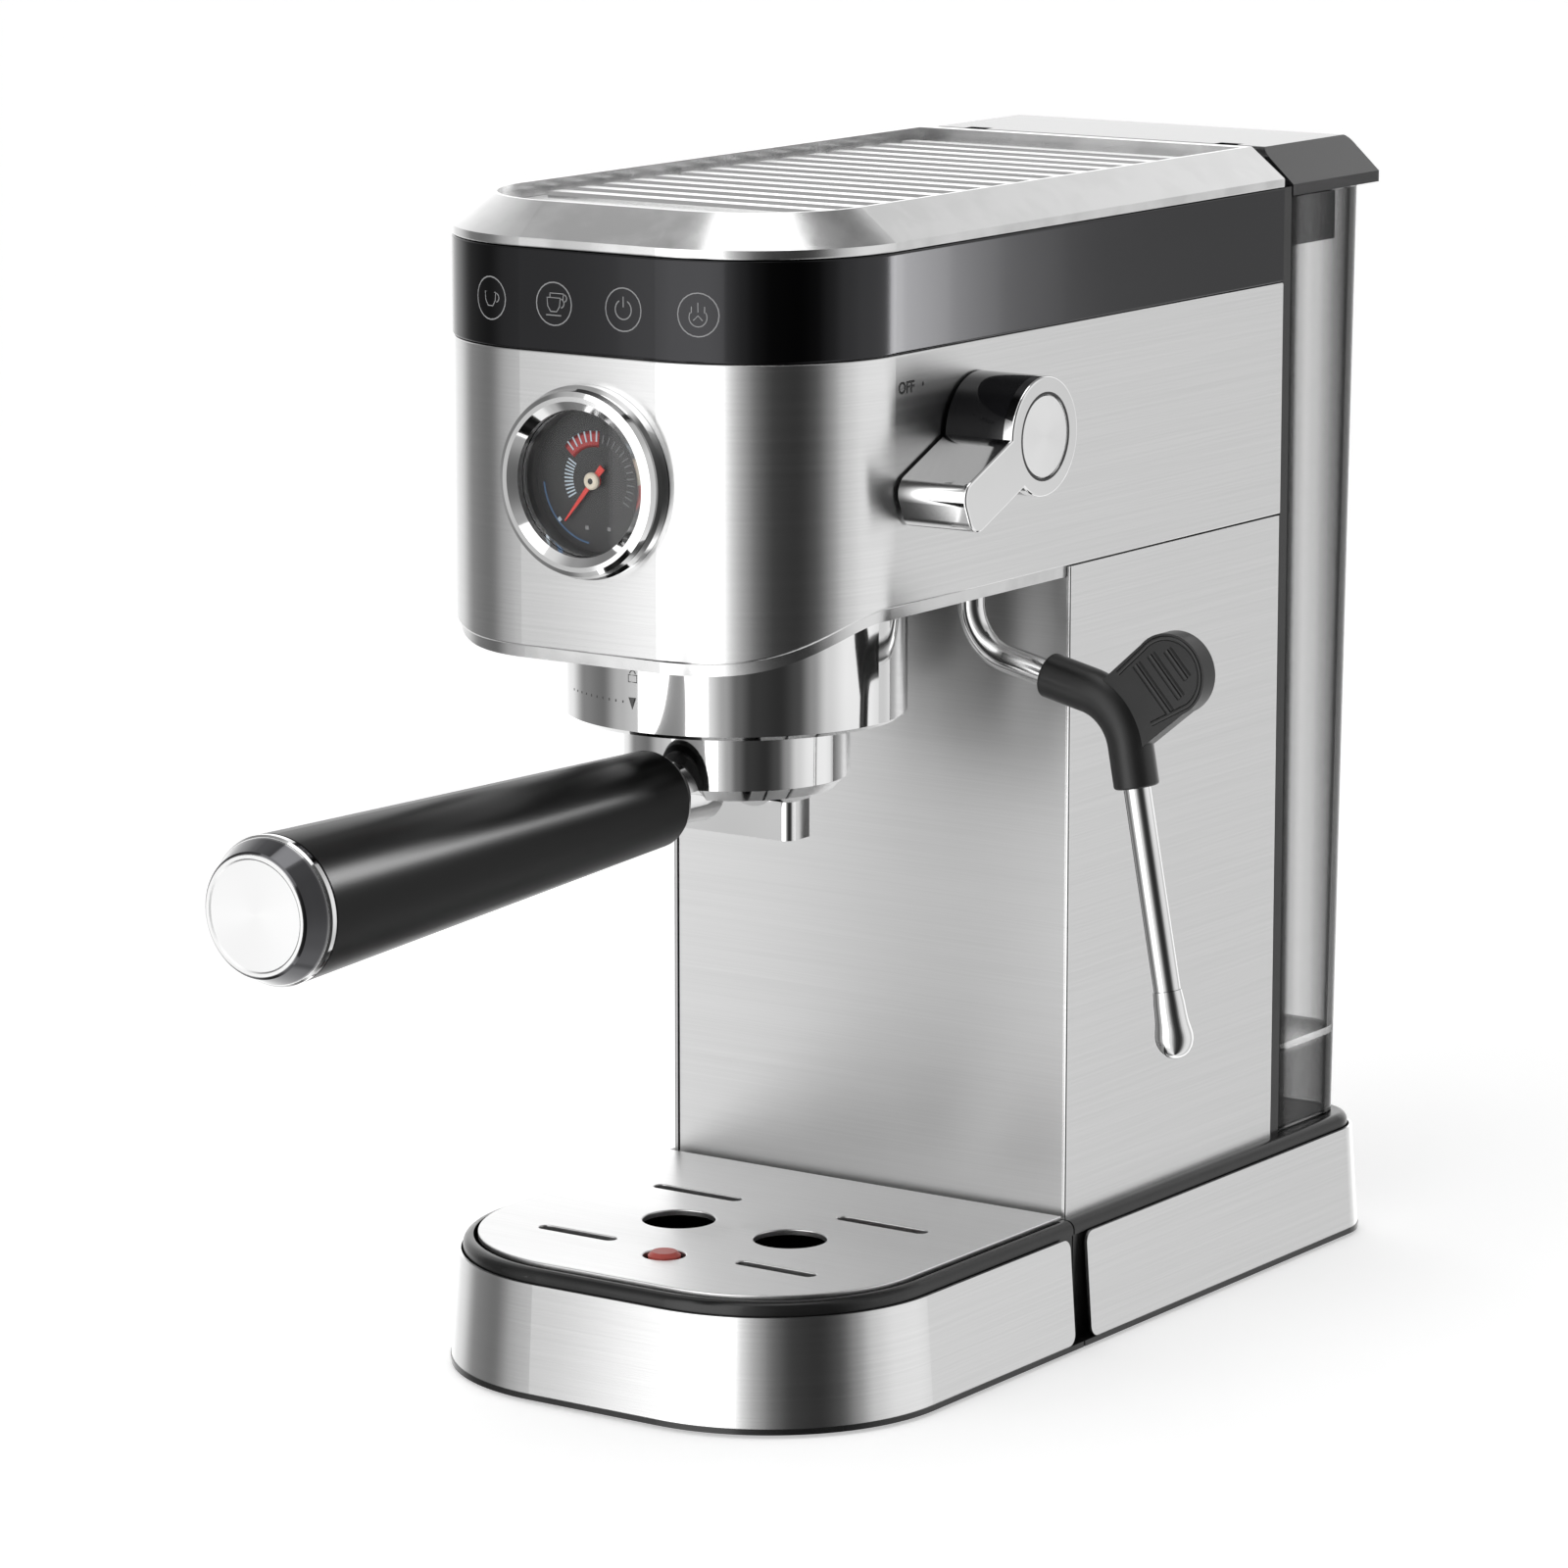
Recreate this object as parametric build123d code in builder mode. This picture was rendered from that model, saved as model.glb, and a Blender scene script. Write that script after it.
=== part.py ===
from build123d import *
import os
from math import atan, cos, degrees, radians, sin

# A slim home espresso machine: a column with an overhanging head, a drip tray in front, a water tank behind,
# a locking filter holder, a pressure gauge, a steam knob and a steam wand. Millimetres, +Z up.
# The machine is laid out from the middle of the splash panel at counter level: X to the right, Y to the back.

# ---------------------------------------------------------------- driving dimensions
gap = 0.3                    # between pieces that come apart
seat = 0.1                   # between fixed pieces that lie against each other
running = 0.05               # radial clearance of pins and stems that turn
sheet = 1.2                  # steel casing sheet
wall = 2.0                   # moulded walls

# casing
column_width = 125.0
column_depth = 105.4         # splash panel to the back of the side sheets
column_height = 206.0        # seam between the side sheets and the head
head_reach = 123.0           # head front, in front of the splash panel
head_corner = 42.0           # plan radius of the head's front corners
edge_drop = 11.5             # the head's lower edge is this much lower at the front
edge_rise_length = 39.0      # and rises over this length behind the front
underside_depth = 3.1        # the underside shows this much below the sheet
shell_height = 73.9          # head shell at its front
band_height = 25.2           # gloss control band
band_thickness = 2.5
cover_lip = 2.4              # upright lip of the top cover
cover_rise = 8.0             # bevel above the lip
cover_bevel = 10.3           # plan width of the cover's bevel
cover_rim = 1.2              # flat rim inside the bevel
cover_back = 4.0             # the well stops this far from the cover's back
well_depth = 5.0
rear_panel_thickness = 4.0
sheet_edge = 0.6             # rounded edges of sheets and mouldings
rear_fold = 8.0              # side sheets fold in behind

# base
base_margin = 7.5            # the base stands out this much at each side of the column
base_front_margin = 0.5      # and in front of the head
base_corner_front = 50.0
base_corner_back = 16.0
foot_stand = 1.0             # the feet hold the pan this far off the counter
foot_radius = 9.0
foot_recess = 1.2
skirt_top = 2.5              # black skirt under the steel band
band_top = 30.5
deck_top = 34.0
base_flare = 2.0             # the steel band leans in by this much at each side
base_sheet = 0.8
rim_inset = 3.5              # black rim, inside the base outline
rim_round = 2.4
tray_split = 2.0             # joint between tray and base, in front of the splash panel
band_end_front = 6.0
band_end_rear = 2.0
band_end_round = 3.0
tongue_inset = 6.0

# drip tray; reaches are from the group's axis forwards
plate_inset = 7.4
plate_thickness = 1.5
plate_proud = 1.0            # plate top above the rim
plate_edge = 0.35
slot_width = 4.0
rear_slot_offset = -24.0
rear_slot_span = (15.5, 43.0)
front_slot_offset = 27.0
front_slot_span = (19.0, 43.0)
drain_radius = 9.5
drain_spacing = 35.0
drain_offset = 1.0
float_offset = 32.0
float_hole = 5.5
float_stem = 4.2
float_body = 11.5
float_rise = 8.0

# group and filter holder
group_set_back = 1.5         # group axis, behind the middle of the head's reach
basket_radius = 25.5         # basket of the common 51 mm size
basket_depth = 24.0
basket_wall = 0.6
basket_play = 1.0
bowl_wall = 2.7
holder_flange = 2.6
holder_play = 0.7
lug_reach = 4.4
lug_play = 0.6
lug_width = 28.0             # degrees
lug_entry = 45.0             # degrees from locked to free
collar_wall = 6.9
collar_drop = 23.5           # collar below the head's front edge
lip_height = 6.6
groove_height = 5.4
bowl_drop = 17.0             # bowl below the collar
rim_rise = 14.0              # holder's rim above the collar's lower edge
spout_half = 20.5
spout_width = 11.0
spout_height = 10.0
spout_drop = 14.0            # spout's lower edge below the bowl
arm_length = 5.8             # between bowl and grip
handle_droop = 0.8           # degrees
grip_length = 150.5
grip_inner_radius = 12.4
grip_outer_radius = 18.0
grip_ring_width = 2.5
end_cap_length = 6.0
end_disc_radius = 14.4
neck_radius = 8.0
rod_radius = 4.0
rod_length = 70.0
grip_core = 6.0              # bore of the grip
grip_hollow = 9.0            # wider bore at its outer end
plug_length = 36.0

# gauge
gauge_rise = 42.8            # above the head's front edge
gauge_x = 0.5
bezel_radius = 24.0
glass_radius = 18.2
bezel_proud = 6.6
can_radius = 20.2
can_depth = 22.0
needle_angle = 231.0         # degrees, anticlockwise from the right, seen from the front
needle_length = 13.6

# steam knob
knob_y = -45.0
knob_rise = 51.5             # above the head's front edge
knob_radius = 15.0
knob_reach = 20.5            # knob's face, out from the side
knob_ring = 3.0
knob_disc_radius = 10.4
lever_length = 38.0
lever_width = 13.5
lever_angle = 24.0           # degrees below level, pointing forwards
stem_radius = 3.0
stem_socket = 12.0

# steam wand; offsets are out from the column's side and down from the side seam
wand_inset = 16.0
wand_y = -22.0
wand_radius = 3.5
wand_elbow_drop = 19.0
wand_knee_offset = (30.0, 29.4)
wand_end_offset = (43.4, 101.5)
elbow_radius = 14.0
knee_radius = 16.0
nozzle_radius = 4.9
nozzle_length = 17.5
wand_grip_radius = 5.8
wand_grip_drop = 50.4        # grip's lower end
thumb_offset = (44.2, 20.4)
thumb_radius = 10.5
thumb_thickness = 5.6

# water tank
tank_inset = 1.0             # tank's sides, inside the column's
tank_front_gap = 0.5
tank_depth_low = 38.1
tank_depth_high = 44.1
tank_corner = 11.0
tank_floor = 58.0
lid_height = 13.4            # tank's edge to the machine's top
lid_overhang = 2.0
lid_side = 3.0
hinge_pin = 1.25
hinge_x = 40.0
ear_width = 6.0
outlet_radius = 6.5

# cord gland
gland_bore = 3.7
gland_wall = 1.5
gland_flange = 8.0
gland_x = -30.0
gland_height = 16.0

# ---------------------------------------------------------------- worked out from the above
side_seam = column_height
head_front_low = side_seam - edge_drop
band_low = head_front_low + shell_height
band_high = band_low + band_height
top_height = band_high + cover_lip + cover_rise
edge_rise_start = head_reach
edge_rise_end = head_reach - edge_rise_length
base_width = column_width + 2 * base_margin
base_front = head_reach + base_front_margin

group_reach = head_reach / 2 - group_set_back
rear_slot_reach = group_reach + rear_slot_offset
front_slot_reach = group_reach + front_slot_offset
drain_reach = group_reach + drain_offset
float_reach = group_reach + float_offset
bowl_bore = basket_radius + basket_play
bowl_radius = bowl_bore + bowl_wall
holder_rim = bowl_radius + holder_flange
lug_radius = holder_rim + lug_reach
collar_bore = holder_rim + holder_play
groove_radius = lug_radius + lug_play
collar_radius = groove_radius + collar_wall
collar_low = head_front_low - collar_drop
bowl_low = collar_low - bowl_drop
rim_top = collar_low + rim_rise
spout_low = bowl_low - spout_drop
spout_top = spout_low + spout_height
handle_start = group_reach + bowl_radius + arm_length
handle_height = bowl_low
gauge_height = head_front_low + gauge_rise
knob_height = head_front_low + knob_rise
knob_face = column_width / 2 + knob_reach
wand_x = column_width / 2 - wand_inset
wand_elbow_z = side_seam - wand_elbow_drop
wand_knee = (column_width / 2 + wand_knee_offset[0], side_seam - wand_knee_offset[1])
wand_end = (column_width / 2 + wand_end_offset[0], side_seam - wand_end_offset[1])
thumb_centre = (column_width / 2 + thumb_offset[0], side_seam - thumb_offset[1])

tank_width = column_width - 2 * tank_inset
rear_face = column_depth + rear_panel_thickness
tank_front = rear_face + tank_front_gap
tank_back_low = tank_front + tank_depth_low
tank_back_high = tank_front + tank_depth_high
tank_low = deck_top + 0.4
tank_top = top_height - lid_height
tank_outlet_y = (rear_face + tank_back_low) / 2
lid_back = tank_back_high + lid_overhang
base_back = tank_back_low + 5.0

grip_end = handle_start + grip_length + grip_ring_width + end_cap_length
right_extent = thumb_centre[0] + thumb_radius
shift_x = (base_width / 2 - right_extent) / 2        # the origin is the middle of the whole machine's plan
shift_y = (grip_end * cos(radians(handle_droop)) - lid_back) / 2
flare_angle = degrees(atan(base_flare / (band_top - skirt_top)))

os.makedirs("parts", exist_ok=True)


def level(z):
    """Plan plane: local x and y are the machine's X and Y."""
    return Plane(origin=(shift_x, shift_y, z))


def facing(y):
    """Upright plane that faces forwards: local x is X, local y is Z."""
    return Plane(origin=(shift_x, shift_y + y, 0), x_dir=(1, 0, 0), z_dir=(0, -1, 0))


def sideways(x):
    """Upright plane that faces right: local x is Y, local y is Z."""
    return Plane(origin=(shift_x + x, shift_y, 0), x_dir=(0, 1, 0), z_dir=(1, 0, 0))


group_section = Plane(origin=(shift_x, shift_y - group_reach, 0), x_dir=(1, 0, 0), z_dir=(0, -1, 0))
gauge_section = Plane(origin=(shift_x + gauge_x, shift_y, gauge_height), x_dir=(0, -1, 0), z_dir=(-1, 0, 0))
knob_section = Plane(origin=(shift_x, shift_y + knob_y, knob_height), x_dir=(1, 0, 0), z_dir=(0, -1, 0))
wand_section = Plane(origin=(shift_x, shift_y + wand_y, 0), x_dir=(1, 0, 0), z_dir=(0, -1, 0))
droop = radians(handle_droop)
handle_section = Plane(origin=(shift_x, shift_y - handle_start, handle_height),
                       x_dir=(0, -cos(droop), -sin(droop)), z_dir=(-1, 0, 0))


def plan(width, front, back, front_round=0.0, back_round=0.0):
    """Outline across the machine from front to back, with its corners rounded, in the open sketch."""
    with Locations((0, (front + back) / 2)):
        Rectangle(width, back - front)
    if front_round > 0:
        fillet(vertices().group_by(Axis.Y)[0], front_round)
    if back_round > 0:
        fillet(vertices().group_by(Axis.Y)[-1], back_round)


def head_plan(inset, back=column_depth):
    """The head's outline: round in front, square at the back."""
    plan(column_width - 2 * inset, inset - head_reach, back, head_corner - inset)


def base_plan(inset):
    """The base's outline, round at both ends."""
    plan(base_width - 2 * inset, inset - base_front, base_back - inset,
         base_corner_front - inset, base_corner_back - min(inset, base_corner_back - 1))


def prism(plane, width, height, centre, depth, mode=Mode.ADD):
    """A plain block on a plane."""
    with BuildSketch(plane) as profile:
        with Locations(centre):
            Rectangle(width, height)
    extrude(profile.sketch, amount=depth, mode=mode)


def disc(plane, radius, centre, depth, mode=Mode.ADD):
    """A plain cylinder on a plane."""
    with BuildSketch(plane) as profile:
        with Locations(centre):
            Circle(radius)
    extrude(profile.sketch, amount=depth, mode=mode)


def turned(section, direction, *points, mode=Mode.ADD):
    """A straight-sided profile turned about the section plane's own axis."""
    with BuildSketch(section) as profile:
        Polygon(*points, align=None)
    revolve(profile.sketch, axis=Axis(section.origin, direction), mode=mode)


def upright(section, *points, mode=Mode.ADD):
    """Turned about the vertical; points are radius and height."""
    turned(section, (0, 0, 1), *points, mode=mode)


def lengthwise(section, *points, mode=Mode.ADD):
    """Turned about the section's local x; points are distance along and radius."""
    turned(section, section.x_dir, *points, mode=mode)


def wedge(direction, half, reach):
    """Corners of a wedge from the origin, about a direction in degrees."""
    corners = [(0, 0)]
    for angle in (direction - half, direction, direction + half):
        corners.append((reach * cos(radians(angle)), reach * sin(radians(angle))))
    return corners


def write(piece, label):
    """Label a finished piece and write it."""
    piece.part.label = label
    export_step(piece.part, f"parts/{label}.step")


# ---------------------------------------------------------------- base
boss_x = base_width / 2 - 28.0
boss_places = [(side * boss_x, y) for y in (20.0, base_back - 31.0) for side in (-1, 1)]
foot_places = [(side * (base_width / 2 - inset), y) for inset, y in ((26.0, 41.5 - base_front),
                                                                     (18.0, base_back - 19.0))
               for side in (-1, 1)]
pan_floor = skirt_top + 1.0
screw_shank = 1.5
screen_low = rim_top + 3.0
screw_head = 3.2
boss_radius = 4.2

# moulded pan with a tongue that runs under the drip tray and carries the front feet
with BuildPart() as base_pan:
    with BuildSketch(level(foot_stand)):
        base_plan(0)
    extrude(amount=skirt_top - foot_stand)
    with BuildSketch(level(foot_stand)):
        base_plan(rim_inset + 0.5)
    extrude(amount=band_top - foot_stand)
    prism(level(0), base_width, base_front, (0, -base_front / 2 - tray_split + gap), deck_top,
          mode=Mode.SUBTRACT)
    with BuildSketch(level(foot_stand)):
        plan(base_width - 2 * tongue_inset, tongue_inset - base_front, 10.0,
             base_corner_front - tongue_inset)
    extrude(amount=pan_floor - foot_stand)
    with BuildSketch(level(pan_floor)):
        plan(base_width - 2 * (rim_inset + 0.5 + wall), wall - tray_split + gap,
             base_back - rim_inset - 0.5 - wall, 0, base_corner_back - rim_inset - wall)
    extrude(amount=deck_top, mode=Mode.SUBTRACT)
    for place in boss_places:
        disc(level(foot_stand), boss_radius, place, band_top - foot_stand)
        disc(level(foot_stand), screw_shank + seat, place, band_top - foot_stand, mode=Mode.SUBTRACT)
        disc(level(foot_stand), screw_head + seat, place, wall, mode=Mode.SUBTRACT)
    for place in foot_places:
        disc(level(foot_stand), foot_radius + seat, place, foot_recess, mode=Mode.SUBTRACT)
    disc(facing(base_back + 1), gland_bore + gland_wall + seat, (gland_x, gland_height), 12.0,
         mode=Mode.SUBTRACT)
write(base_pan, "base_pan")

with BuildPart() as rubber_feet:
    for place in foot_places:
        disc(level(0), foot_radius, place, foot_stand + foot_recess)
    chamfer(rubber_feet.edges().group_by(Axis.Z)[0], 0.5)
write(rubber_feet, "rubber_feet")

# black deck that closes the base, with a rounded rim and openings for hoses and the tank's outlet
with BuildPart() as base_deck:
    with BuildSketch(level(band_top)):
        base_plan(rim_inset)
    extrude(amount=deck_top - band_top)
    fillet(base_deck.edges().group_by(Axis.Z)[-1], rim_round)
    prism(level(0), base_width, base_front, (0, -base_front / 2 - tray_split + gap), deck_top + 1,
          mode=Mode.SUBTRACT)
    prism(level(0), column_width - 30, column_depth - 25, (0, column_depth / 2), deck_top + 1,
          mode=Mode.SUBTRACT)
    disc(level(0), outlet_radius + 1.5, (0, tank_outlet_y), deck_top + 1, mode=Mode.SUBTRACT)
write(base_deck, "base_deck")


def flared_band():
    """Steel band round the whole base, leaning inwards, in the open part."""
    with BuildSketch(level(skirt_top)) as outer:
        base_plan(0.2)
    extrude(outer.sketch, amount=band_top - skirt_top, taper=flare_angle)
    with BuildSketch(level(skirt_top)) as inner:
        base_plan(0.2 + base_sheet)
    extrude(inner.sketch, amount=band_top - skirt_top, taper=flare_angle, mode=Mode.SUBTRACT)


with BuildPart() as base_band:
    flared_band()
    prism(level(0), base_width + 1, 2 * base_front, (0, band_end_rear - base_front), deck_top,
          mode=Mode.SUBTRACT)
    end_edges = base_band.edges().filter_by(lambda e: abs(e.center().Y - shift_y - band_end_rear) < 0.05)
    fillet(end_edges.filter_by(Axis.X), band_end_round)
    disc(facing(base_back + 1), gland_bore + gland_wall + seat, (gland_x, gland_height), 12.0,
         mode=Mode.SUBTRACT)
write(base_band, "base_band")

with BuildPart() as screws:
    for place in boss_places:
        disc(level(foot_stand + 0.4), screw_head, place, wall - 0.4)
        disc(level(foot_stand), 1.3, place, 1.0, mode=Mode.SUBTRACT)
        disc(level(foot_stand + wall), screw_shank, place, band_top - foot_stand - wall - 2)
    # screw that holds the shower screen
    upright(group_section, (0, screen_low - 1.1), (4.0, screen_low - 1.1), (4.0, screen_low),
            (2.0, screen_low), (2.0, screen_low + 8), (0, screen_low + 8))
write(screws, "screws")

# strain-relief bush for the mains lead, through the back of the base
gland_section = Plane(origin=(shift_x + gland_x, shift_y, gland_height), x_dir=(0, 1, 0), z_dir=(1, 0, 0))
gland_out = base_back + 2.0
gland_in = base_back - rim_inset - wall - 3.0
with BuildPart() as cord_gland:
    lengthwise(gland_section, (gland_in, gland_bore), (gland_out, gland_bore), (gland_out, gland_flange - 1),
               (gland_out - 1, gland_flange), (base_back + seat, gland_flange),
               (base_back + seat, gland_bore + gland_wall), (gland_in, gland_bore + gland_wall))
write(cord_gland, "cord_gland")

# ---------------------------------------------------------------- drip tray
tray_floor = pan_floor + gap + 0.4
with BuildPart() as tray_tub:
    with BuildSketch(level(foot_stand)):
        base_plan(0)
    extrude(amount=skirt_top - foot_stand)
    with BuildSketch(level(foot_stand)):
        base_plan(rim_inset + 0.5)
    extrude(amount=band_top - foot_stand)
    with BuildSketch(level(band_top)):
        base_plan(rim_inset)
    extrude(amount=deck_top - band_top)
    fillet(tray_tub.edges().group_by(Axis.Z)[-1], rim_round)
    prism(level(0), base_width, 2 * base_back, (0, base_back - tray_split - gap), deck_top + 1,
          mode=Mode.SUBTRACT)
    with BuildSketch(level(tray_floor + wall)):
        plan(base_width - 2 * (rim_inset + 0.5 + wall), rim_inset + 0.5 + wall - base_front,
             -tray_split - gap - wall, base_corner_front - rim_inset - wall)
    extrude(amount=deck_top, mode=Mode.SUBTRACT)
    with BuildSketch(level(deck_top + plate_proud - plate_thickness)):
        plan(base_width - 2 * (plate_inset - gap), plate_inset - gap - base_front, 0,
             base_corner_front - plate_inset)
    extrude(amount=deck_top, mode=Mode.SUBTRACT)
    with BuildSketch(level(0)):
        plan(base_width - 2 * (tongue_inset - gap), tongue_inset - gap - base_front, 0,
             base_corner_front - tongue_inset + gap)
    extrude(amount=tray_floor, mode=Mode.SUBTRACT)
    # round cage that keeps the float upright
    disc(level(tray_floor), float_body + 2.3, (0, -float_reach), wall + float_rise)
    disc(level(tray_floor + wall), float_body + 0.8, (0, -float_reach), 10.0, mode=Mode.SUBTRACT)
    prism(level(tray_floor + wall), 6.0, 40.0, (0, -float_reach), 10.0, mode=Mode.SUBTRACT)
write(tray_tub, "tray_tub")

with BuildPart() as tray_band:
    flared_band()
    prism(level(0), base_width + 1, 2 * base_back, (0, base_back - band_end_front), deck_top,
          mode=Mode.SUBTRACT)
    end_edges = tray_band.edges().filter_by(lambda e: abs(e.center().Y - shift_y + band_end_front) < 0.05)
    fillet(end_edges.filter_by(Axis.X), band_end_round)
write(tray_band, "tray_band")

with BuildPart() as drip_plate:
    with BuildSketch(level(deck_top + plate_proud - plate_thickness)):
        plan(base_width - 2 * plate_inset, plate_inset - base_front, -tray_split - gap,
             base_corner_front - plate_inset)
        for reach, span in ((rear_slot_reach, rear_slot_span), (front_slot_reach, front_slot_span)):
            for side in (-1, 1):
                with Locations((side * (span[0] + span[1]) / 2, -reach)):
                    SlotOverall(span[1] - span[0], slot_width, mode=Mode.SUBTRACT)
        with Locations((-drain_spacing / 2, -drain_reach), (drain_spacing / 2, -drain_reach)):
            Circle(drain_radius, mode=Mode.SUBTRACT)
        with Locations((0, -float_reach)):
            Circle(float_hole, mode=Mode.SUBTRACT)
    extrude(amount=plate_thickness)
    fillet(drip_plate.edges().group_by(Axis.Z)[-1], plate_edge)
write(drip_plate, "drip_plate")

float_section = Plane(origin=(shift_x, shift_y - float_reach, 0), x_dir=(1, 0, 0), z_dir=(0, -1, 0))
float_low = tray_floor + wall + gap
float_top = deck_top + plate_proud + 1.0
with BuildPart() as tray_float:
    upright(float_section, (0, float_low), (float_body, float_low), (float_body, float_low + 8),
            (float_stem, float_low + 9), (float_stem, float_top - 1), (float_stem - 1, float_top),
            (0, float_top))
write(tray_float, "float")

# ---------------------------------------------------------------- column
side_height = side_seam - gap - deck_top


def side_sheet(side):
    """Flat steel sheet with its rear edge folded in, in the open part."""
    prism(level(deck_top), sheet, column_depth, (side * (column_width - sheet) / 2, column_depth / 2),
          side_height)
    prism(level(deck_top), rear_fold, sheet,
          (side * (column_width - rear_fold) / 2, column_depth - sheet / 2), side_height)
    outer_face = faces().sort_by(Axis.X)[-1 if side > 0 else 0]
    fillet(outer_face.edges().sort_by(Axis.Z)[1:], sheet_edge)


with BuildPart() as left_side_panel:
    side_sheet(-1)
write(left_side_panel, "left_side_panel")

with BuildPart() as right_side_panel:
    side_sheet(1)
write(right_side_panel, "right_side_panel")

splash_width = column_width - 2 * (sheet + gap)
with BuildPart() as splash_panel:
    prism(level(deck_top), splash_width, sheet, (0, 0.5 + sheet / 2), side_height - underside_depth)
    for side in (-1, 1):
        prism(level(deck_top), sheet, 10.0, (side * (splash_width - sheet) / 2, 5.5),
              side_height - underside_depth)
write(splash_panel, "splash_panel")

with BuildPart() as rear_panel:
    prism(level(deck_top), column_width - 0.4, rear_panel_thickness,
          (0, column_depth + seat + (rear_panel_thickness - seat) / 2), band_high - deck_top)
    prism(level(deck_top), column_width - 24, 9.0, (0, column_depth - 3.5), band_high - deck_top - 2)
    prism(level(deck_top - 1), column_width - 28, 12.0, (0, column_depth - 6.0), band_high - deck_top - 4,
          mode=Mode.SUBTRACT)
write(rear_panel, "rear_panel")


# ---------------------------------------------------------------- head
def rising_edge(lowered, top):
    """Face that covers all above or below the head's curved lower edge, seen from the side."""
    low = head_front_low - lowered
    high = side_seam - lowered
    third = (edge_rise_start - edge_rise_end) / 3
    with BuildSketch(sideways(0)) as profile:
        with BuildLine():
            Bezier((-edge_rise_start, low), (third - edge_rise_start, low),
                   (-edge_rise_end - third, high), (-edge_rise_end, high))
            Polyline((-edge_rise_end, high), (200, high), (200, top), (-200, top), (-200, low),
                     (-edge_rise_start, low))
        make_face()
    return profile.sketch


with BuildPart() as head_shell:
    with BuildSketch(level(head_front_low - 5)):
        head_plan(0)
    extrude(amount=band_low - head_front_low + 5)
    extrude(rising_edge(0, 100), amount=column_width, both=True, mode=Mode.SUBTRACT)
    lower_edge = head_shell.edges().filter_by(lambda e: e.center().Z < side_seam + 0.01)
    lower_edge = lower_edge.filter_by(lambda e: abs(e.length - column_width) > 0.01)
    fillet(lower_edge, sheet_edge)
    fillet(head_shell.edges().group_by(Axis.Z)[-1], sheet_edge)
    with BuildSketch(level(head_front_low - 5)):
        head_plan(sheet, back=column_depth + 5)
    extrude(amount=band_low - head_front_low + 10, mode=Mode.SUBTRACT)
    disc(facing(-head_reach - 5), can_radius + seat, (gauge_x, gauge_height), -10, mode=Mode.SUBTRACT)
    disc(sideways(0), stem_radius + 2, (knob_y, knob_height), column_width, mode=Mode.SUBTRACT)
write(head_shell, "head_shell")

with BuildPart() as head_underside:
    with BuildSketch(level(head_front_low - 8)):
        head_plan(sheet + seat, back=-0.2)
    extrude(amount=30)
    extrude(rising_edge(underside_depth, 100), amount=column_width, both=True, mode=Mode.SUBTRACT)
    extrude(rising_edge(-0.6, 300), amount=column_width, both=True, mode=Mode.SUBTRACT)
    disc(level(0), collar_radius + gap, (0, -group_reach), 300, mode=Mode.SUBTRACT)
    disc(level(0), 7.0, (wand_x, wand_y), 300, mode=Mode.SUBTRACT)
write(head_underside, "head_underside")

with BuildPart() as control_band:
    with BuildSketch(level(band_low + seat)):
        head_plan(0)
    extrude(amount=band_height - 2 * seat)
    fillet(control_band.edges().filter_by(Axis.Z, reverse=True), sheet_edge)
    with BuildSketch(level(band_low)):
        head_plan(band_thickness, back=column_depth + 5)
    extrude(amount=band_height, mode=Mode.SUBTRACT)
write(control_band, "control_band")

# board with four touch springs behind the band
touch_places = [-32.5, -11.0, 11.0, 32.5]
with BuildPart() as touch_board:
    prism(facing(-head_reach + 14.0), 74.0, 18.0, (0, band_low + band_height / 2), -1.6)
    for x in touch_places:
        disc(facing(-head_reach + 14.0), 3.0, (x * 0.9, band_low + band_height / 2), 4.0)
write(touch_board, "touch_board")

well_inset = cover_bevel + cover_rim
bevel_low = band_high + cover_lip
with BuildPart() as top_cover:
    with BuildSketch(level(band_high)):
        head_plan(0, back=column_depth + 60)
    extrude(amount=cover_lip)
    fillet(top_cover.edges().group_by(Axis.Z)[0], sheet_edge)
    with BuildSketch(level(bevel_low)):
        head_plan(0, back=column_depth + 60)
    with BuildSketch(level(top_height)):
        head_plan(cover_bevel, back=column_depth + 60)
    loft(ruled=True)
    prism(level(band_high - 1), column_width + 1, 100.0, (0, column_depth + 50), 30, mode=Mode.SUBTRACT)
    with BuildSketch(level(top_height - well_depth)):
        head_plan(well_inset, back=column_depth - cover_back)
    extrude(amount=well_depth + 1, mode=Mode.SUBTRACT)
    with BuildSketch(level(band_high - 1)):
        head_plan(3.0, back=column_depth - 3)
    extrude(amount=1 + cover_lip, mode=Mode.SUBTRACT)
write(top_cover, "top_cover")

# cup warmer: thin plate with raised ribs across it
rib_pitch = 11.5
rib_width = 6.5
rib_height = 1.4
rib_margin = 4.0
rib_first = 51.0 - head_reach             # behind the rounded front
rib_room = column_depth - cover_back - gap - rib_margin - rib_width / 2 - rib_first
rib_count = int(rib_room / rib_pitch) + 1
with BuildPart() as cup_warmer:
    with BuildSketch(level(top_height - well_depth)):
        head_plan(well_inset + gap, back=column_depth - cover_back - gap)
    extrude(amount=1.2)
    with BuildSketch(level(top_height - well_depth + 1.2)):
        for i in range(rib_count):
            with Locations((0, rib_first + i * rib_pitch)):
                Rectangle(column_width - 2 * well_inset - 8, rib_width)
    extrude(amount=rib_height)
    chamfer(cup_warmer.edges().group_by(Axis.Z)[-1].filter_by(Axis.X), 0.9)
write(cup_warmer, "cup_warmer")

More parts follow.
